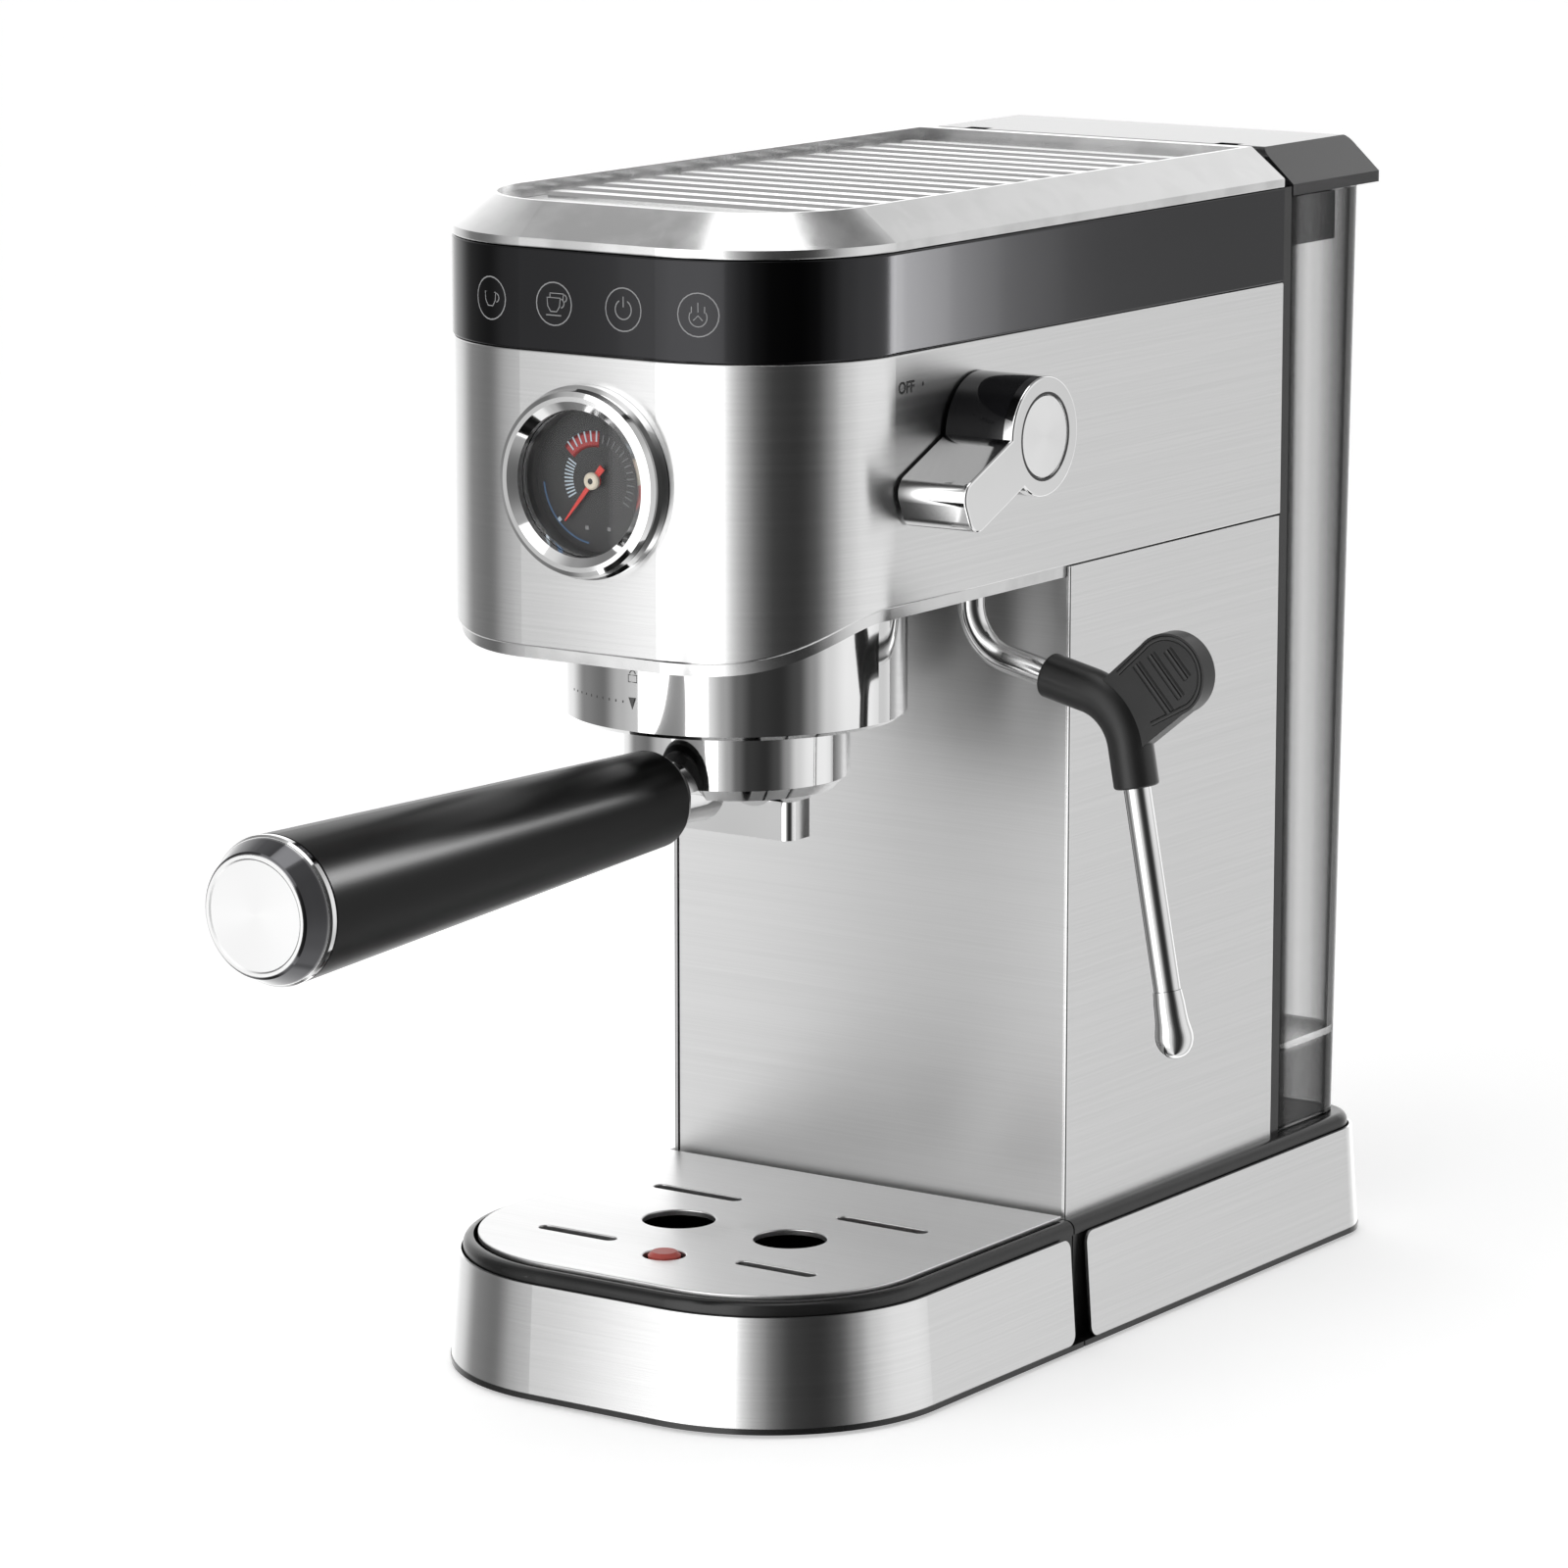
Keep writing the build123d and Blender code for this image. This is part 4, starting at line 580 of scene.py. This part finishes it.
link(rings.outputs["Z"], flat_spot.inputs["Y"])
span = add("ShaderNodeVectorMath", operation="LENGTH")
link(flat_spot.outputs[0], span.inputs[0])
DISC_RIM, CAP_REACH = 14.5, 20.0
reach = math_node(add, link, "DIVIDE", span.outputs["Value"], CAP_REACH * MM)
rim = DISC_RIM / CAP_REACH
# the bevel's colour is a painted dark reflection on its polished metal
SPUN, BEVEL_PAINTED_REFLECTION, RING_BRIGHT = (0.70, 0.70, 0.70), (0.10, 0.10, 0.105), (0.75, 0.75, 0.75)
bevel = [(rim - 0.01, SPUN), (rim + 0.01, BEVEL_PAINTED_REFLECTION), (0.855, BEVEL_PAINTED_REFLECTION), (0.885, RING_BRIGHT)]
link(ramp_node(add, link, reach, bevel), shader.inputs["Base Color"])
link(ramp_node(add, link, reach, [(rim - 0.01, 0.26), (rim + 0.01, 0.07)]), shader.inputs["Roughness"])
link(add("ShaderNodeTangent", direction_type="RADIAL", axis="Y").outputs[0], shader.inputs["Tangent"])
paint(spun, "end_cap")

# ------------------------------------------------------------------ steam wand
# A bent steel tube with a plated tip turns in a black socket. A rubber grip is moulded on it, with a rimmed
# thumb tab that has three slanting grooves.
tube_metal = grained("tube_metal", (0.82, 0.82, 0.82), 0.1, 1.0, 400, 0, 0.03)
paint(tube_metal, "wand_tube", "wand_nozzle")
paint(plastic, "wand_socket")
rubber = grained("rubber_black", (0.016, 0.016, 0.016), 0.36, 0.0, 2500, 0.00004)
paint(rubber, "wand_grip")
TAB_X, TAB_FRONT, TAB_Z, TAB_RADIUS = 106.7, -24.8, 185.6, 9.3


def on_tab(u, v, w):
    """A point on the thumb tab's front, from the middle of its round end."""
    return at(TAB_X + u, TAB_FRONT - 0.35 * w, TAB_Z + v)


tab_rim = arc(TAB_RADIUS, -50, 140, steps=24) + [(-14.5, -1.0)]
printed("tab_rim", [([(-4.6, -12.9)] + tab_rim, 1.3, False)], on_tab, rubber, "steam_wand")
# painted shade: the grooves between the ribs are the same rubber, painted darker
groove = grained("groove_painted_shade", (0.004, 0.004, 0.004), 0.6, 0.0, 900, 0)
slants = [((-9.6, 1.5), (0.6, -9.8)), ((-5.4, 4.4), (3.6, -5.6)), ((-0.6, 6.0), (5.4, -0.6))]
GROOVE_U, GROOVE_V = 1.25, 1.1          # each groove lies this far from its rib
printed("tab_ribs", [([first, last], 1.7, False) for first, last in slants], on_tab, rubber, "steam_wand")
printed("tab_grooves", [([(u + GROOVE_U, v + GROOVE_V) for u, v in ends], 0.6, False) for ends in slants],
        lambda u, v, w: on_tab(u, v, 0.3 * w), groove, "steam_wand")

# ------------------------------------------------------------------ base and drip tray
# Flared bands of the same brushed sheet are folded round a black pan and the tray's tub. A satin plate with
# slots and drain holes lies on the tray, and a red float shows through it when the tray is full.
base_steel = brushed("base_steel", (0.80, 0.80, 0.80), 0.24, LEVEL_GRAIN)
paint(base_steel, "base_band", "tray_band")
plate_satin = brushed("plate_satin", (0.84, 0.84, 0.84), 0.34, ACROSS_GRAIN, drawn_out=0.3, along=0.0)
paint(plate_satin, "drip_plate")
deck_black = grained("deck_black", (0.012, 0.012, 0.012), 0.2, 0.0, 3000, 0.00001)
paint(deck_black, "base_pan", "base_deck", "tray_tub", "tank_seat")
feet_rubber = grained("feet_rubber", (0.012, 0.012, 0.012), 0.55, 0.0, 2500, 0.00004)
paint(feet_rubber, "rubber_feet", "group_gasket", "pump_mounts")
salmon = grained("float_red", (0.62, 0.11, 0.09), 0.4, 0.0, 1500, 0)
paint(salmon, "float")

# ------------------------------------------------------------------ rear panel and cord gland
# The back is one black moulding behind the side sheets, pushed in from the rear. The cord's gland is a
# rubber bush of the same black, low down in the base.
panel_black = grained("panel_black", (0.010, 0.010, 0.010), 0.22, 0.0, 3000, 0.00001)
paint(panel_black, "rear_panel", "cord_gland")

# ------------------------------------------------------------------ water tank and lid
# The tank is one clear smoked moulding and lifts out with its valve. Its colour is painted shade: dark at its
# front edge, lightest a quarter of the way back, darker towards its back and below its floor, and one painted
# grey on the walls that face front or back. Its darker lid turns on two pins in the tank's ears.
tank_low, tank_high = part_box("water_tank")
smoke_with_painted_shade, add, link, shader = finish("tank_smoke", (0.42, 0.43, 0.44), 0.04, 0.0, Transmission_Weight=1.0,
                                  IOR=1.2)
parts = add("ShaderNodeSeparateXYZ")
link(add("ShaderNodeTexCoord").outputs["Object"], parts.inputs[0])
depth = math_node(add, link, "SUBTRACT", parts.outputs["Y"], tank_low.y)
depth = math_node(add, link, "DIVIDE", depth, tank_high.y - tank_low.y)
# painted shade: the tank's tint by its depth from front to back
PAINTED_SHADE_BY_DEPTH = [(0.0, 0.0), (0.07, 0.02), (0.14, 0.6), (0.25, 0.85), (0.38, 0.75), (0.49, 0.5), (0.60, 0.27),
               (0.70, 0.12), (0.80, 0.06), (0.92, 0.06), (1.0, 0.2)]
# painted shade below the tank's floor, and one painted grey where a wall faces front or back
PAINTED_SHADE_BELOW_FLOOR, FLAT_WALL, FLAT_WALL_PAINTED_SHADE = [(0.0565, 0.34), (0.0585, 1.0)], [(0.85, 0.0), (0.97, 1.0)], 0.68
painted_shade = add("ShaderNodeMix", data_type="RGBA", blend_type="MULTIPLY")
painted_shade.inputs["Factor"].default_value = 1.0
link(ramp_node(add, link, depth, PAINTED_SHADE_BY_DEPTH), painted_shade.inputs["A"])
link(ramp_node(add, link, parts.outputs["Z"], PAINTED_SHADE_BELOW_FLOOR), painted_shade.inputs["B"])
facing = add("ShaderNodeSeparateXYZ")
link(add("ShaderNodeNewGeometry").outputs["Normal"], facing.inputs[0])
flat_wall = ramp_node(add, link, math_node(add, link, "ABSOLUTE", facing.outputs["Y"]), FLAT_WALL)
link(mixed(flat_wall, painted_shade.outputs["Result"], FLAT_WALL_PAINTED_SHADE), shader.inputs["Base Color"])
paint(smoke_with_painted_shade, "water_tank")
dark_smoke = grained("lid_smoke", (0.03, 0.03, 0.032), 0.06, 0.0, 200, 0, 0.02, Transmission_Weight=0.5,
                     IOR=1.49)
paint(dark_smoke, "tank_lid", "tank_valve")

# ------------------------------------------------------------------ works
# Inside are the heating block with its thermostats, the pump on rubber mounts, the steam valve, hoses and
# boards, on a steel chassis. They show only where the casing is opened.
aluminium = grained("cast_aluminium", (0.6, 0.6, 0.61), 0.45, 1.0, 900, 0.0001)
paint(aluminium, "boiler_base", "boiler_cover")
plain = grained("steel_plain", (0.6, 0.6, 0.6), 0.3, 1.0, 900, 0.00002)
paint(plain, "chassis", "screws", "filter_basket", "shower_screen", "basket_spring", "valve_stem")
board = grained("board_green", (0.02, 0.12, 0.05), 0.4, 0.0, 900, 0.00002)
paint(board, "control_board", "touch_board")
pump_grey = grained("pump_grey", (0.15, 0.15, 0.16), 0.5, 0.0, 900, 0.00005)
paint(pump_grey, "pump")
brass = grained("brass", (0.75, 0.55, 0.25), 0.3, 1.0, 900, 0.00002)
paint(brass, "steam_valve")
hose = grained("hose_silicone", (0.75, 0.75, 0.72), 0.4, 0.0, 900, 0.00002)
paint(hose, "inlet_hose", "pressure_hose")
paint(plastic, "gauge_body", "thermostats")
